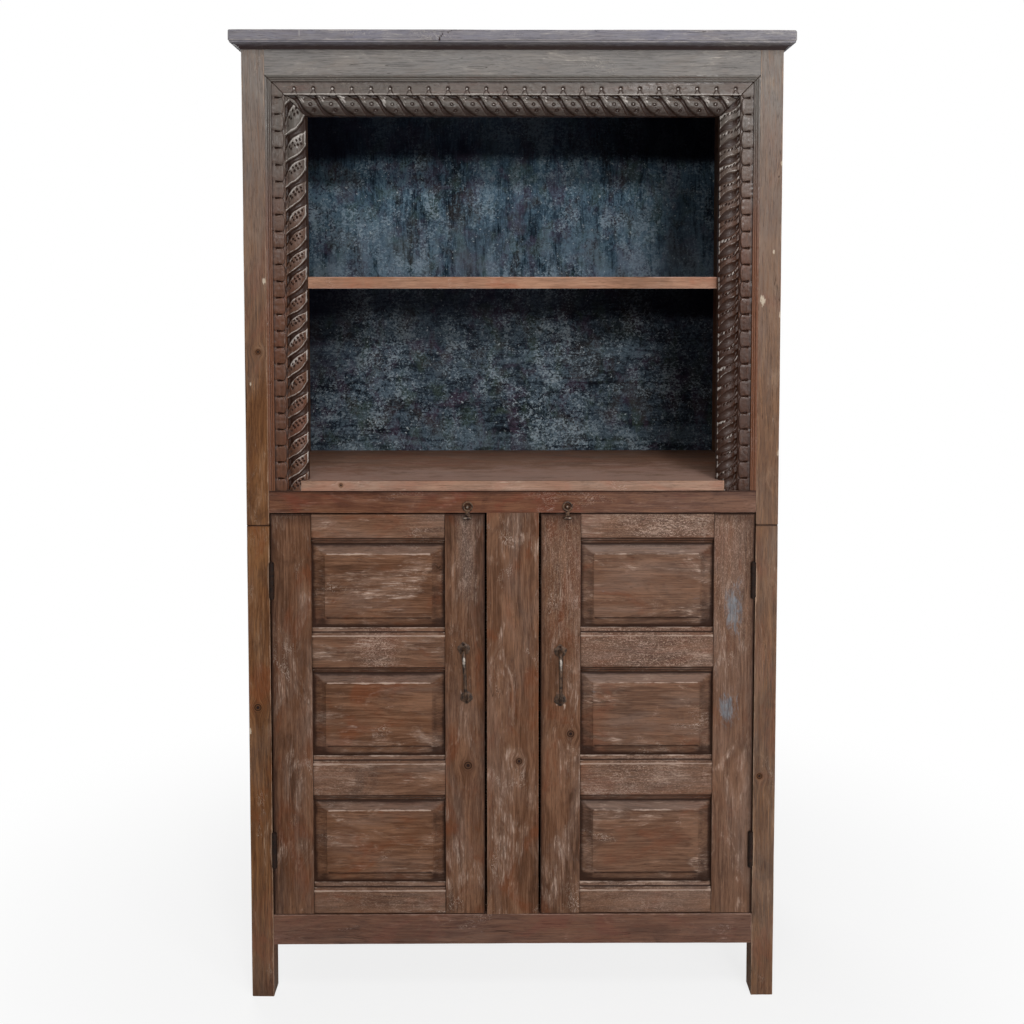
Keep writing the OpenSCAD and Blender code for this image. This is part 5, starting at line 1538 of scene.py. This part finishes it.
def make_studs():
    """Domed studs in the rail, which the rings hang on."""
    profile = [(0.0, 1.0 * MM), (0.94, 1.0 * MM), (0.96, -2.6 * MM), (STUD_SHARE, -3.2 * MM)]
    dome = np.linspace(0, np.pi / 2, 8)[1:]
    profile += [(STUD_SHARE * math.cos(t), -3.0 * MM - 4.9 * MM * math.sin(t)) for t in dome]
    stud = disc(hammered, profile, count=28)
    shells = [moved(stud, (x, FACE_Y, LATCH_Z + HASP_RISE)) for x in LATCH_X.values()]
    iron_piece("latch_studs", shells, LATCH_IRON)


for latch_side, latch_word in SIDES.items():
    make_handle(latch_side, latch_word)
    make_hasp(latch_side, latch_word)
    make_staple(latch_side, latch_word)
make_studs()

for iron_node in ("hinge_frame_leaves", "left_hinge_door_leaves", "right_hinge_door_leaves", "hinge_pins",
                  "frame_nails", "left_door_nails", "right_door_nails"):
    cad = frame["nodes"][iron_node]
    cad.data.materials.clear()
    cad.data.materials.append(HINGE_IRON)


# Floor, light and camera

WHITE = (1.0, 1.0, 1.0, 1.0)
AMBIENT = 0.09
CAMERA_AT = (-0.0154, -2.4949, 1.3633)
CAMERA_YAW = 0.0061
CAMERA_PITCH = -0.0559
CAMERA_LENS = 43.1
CAMERA_SHIFT_Y = -0.154


def make_floor():
    """A wide pale floor that goes over into white away from the object."""
    bpy.ops.mesh.primitive_grid_add(x_subdivisions=40, y_subdivisions=40, size=24)
    floor = bpy.context.object
    floor.name = "floor"
    g = Graph(bpy.data.materials.new("floor"))
    place = g.place()
    pale = g.mix(g.noise(place, (3, 3)) * 0.3, "#efefef", "#e9e9e9")
    seen = g.add("LightPath", out="Is Camera Ray")
    share = seen * g.ramp(g.vectors("LENGTH", place), 0.4, 1.6, 0.80, 1.0)
    diffuse = g.add("BsdfDiffuse", {"Color": pale})
    glow = g.add("Emission", {"Color": WHITE, "Strength": 1.0})
    g.output(g.add("MixShader", {0: share, 1: diffuse, 2: glow}))
    floor.data.materials.append(g.owner)


def make_world():
    """Even light all round; the camera and reflections see white."""
    world = bpy.data.worlds.new("studio")
    bpy.context.scene.world = world
    g = Graph(world)
    rays = (f"Is {kind} Ray" for kind in ("Camera", "Glossy", "Transmission"))
    camera, glossy, through = (g.add("LightPath", out=ray) for ray in rays)
    seen = g.math("MAXIMUM", camera, g.math("MAXIMUM", glossy, through))
    ambient, white = (g.add("Background", {"Color": WHITE, "Strength": power}) for power in (AMBIENT, 1.0))
    g.output(g.add("MixShader", {0: seen, 1: ambient, 2: white}), "World")


def aim(obj, at, direction):
    """Puts a light or a camera in the scene, looking this way."""
    bpy.context.scene.collection.objects.link(obj)
    obj.location = at
    obj.rotation_euler = direction.to_track_quat("-Z", "Y").to_euler()


def area_light(name, at, towards, size, power):
    light = bpy.data.lights.new(name, "AREA")
    light.shape = "RECTANGLE"
    light.size, light.size_y = size
    light.energy = power
    aim(bpy.data.objects.new(name, light), at, Vector(towards) - Vector(at))


def make_camera():
    data = bpy.data.cameras.new("photo_camera")
    data.lens = CAMERA_LENS
    data.sensor_width = 36
    data.shift_y = CAMERA_SHIFT_Y
    camera = bpy.data.objects.new("photo_camera", data)
    level = math.cos(CAMERA_PITCH)
    ahead = Vector((math.sin(CAMERA_YAW) * level, math.cos(CAMERA_YAW) * level, math.sin(CAMERA_PITCH)))
    aim(camera, CAMERA_AT, ahead)
    bpy.context.scene.camera = camera


make_floor()
make_world()
area_light("key", (1.3, -5.0, 2.80), (0.1, 0, 0.8), (1.1, 0.30), 112)
area_light("second", (-0.75, -5.0, 2.17), (0, 0, 0.8), (1.1, 0.30), 32)
area_light("right", (1.7, -2.4, 0.9), (0.2, 0, 0.8), (0.9, 0.9), 19)
area_light("top", (0.3, -1.9, 3.4), (0, 0, 1.0), (2.0, 0.8), 28)
area_light("rear", (-1.5, 3.2, 2.4), (0, 0, 1.0), (2.0, 2.0), 60)
make_camera()
bpy.context.scene.view_settings.view_transform = "Standard"
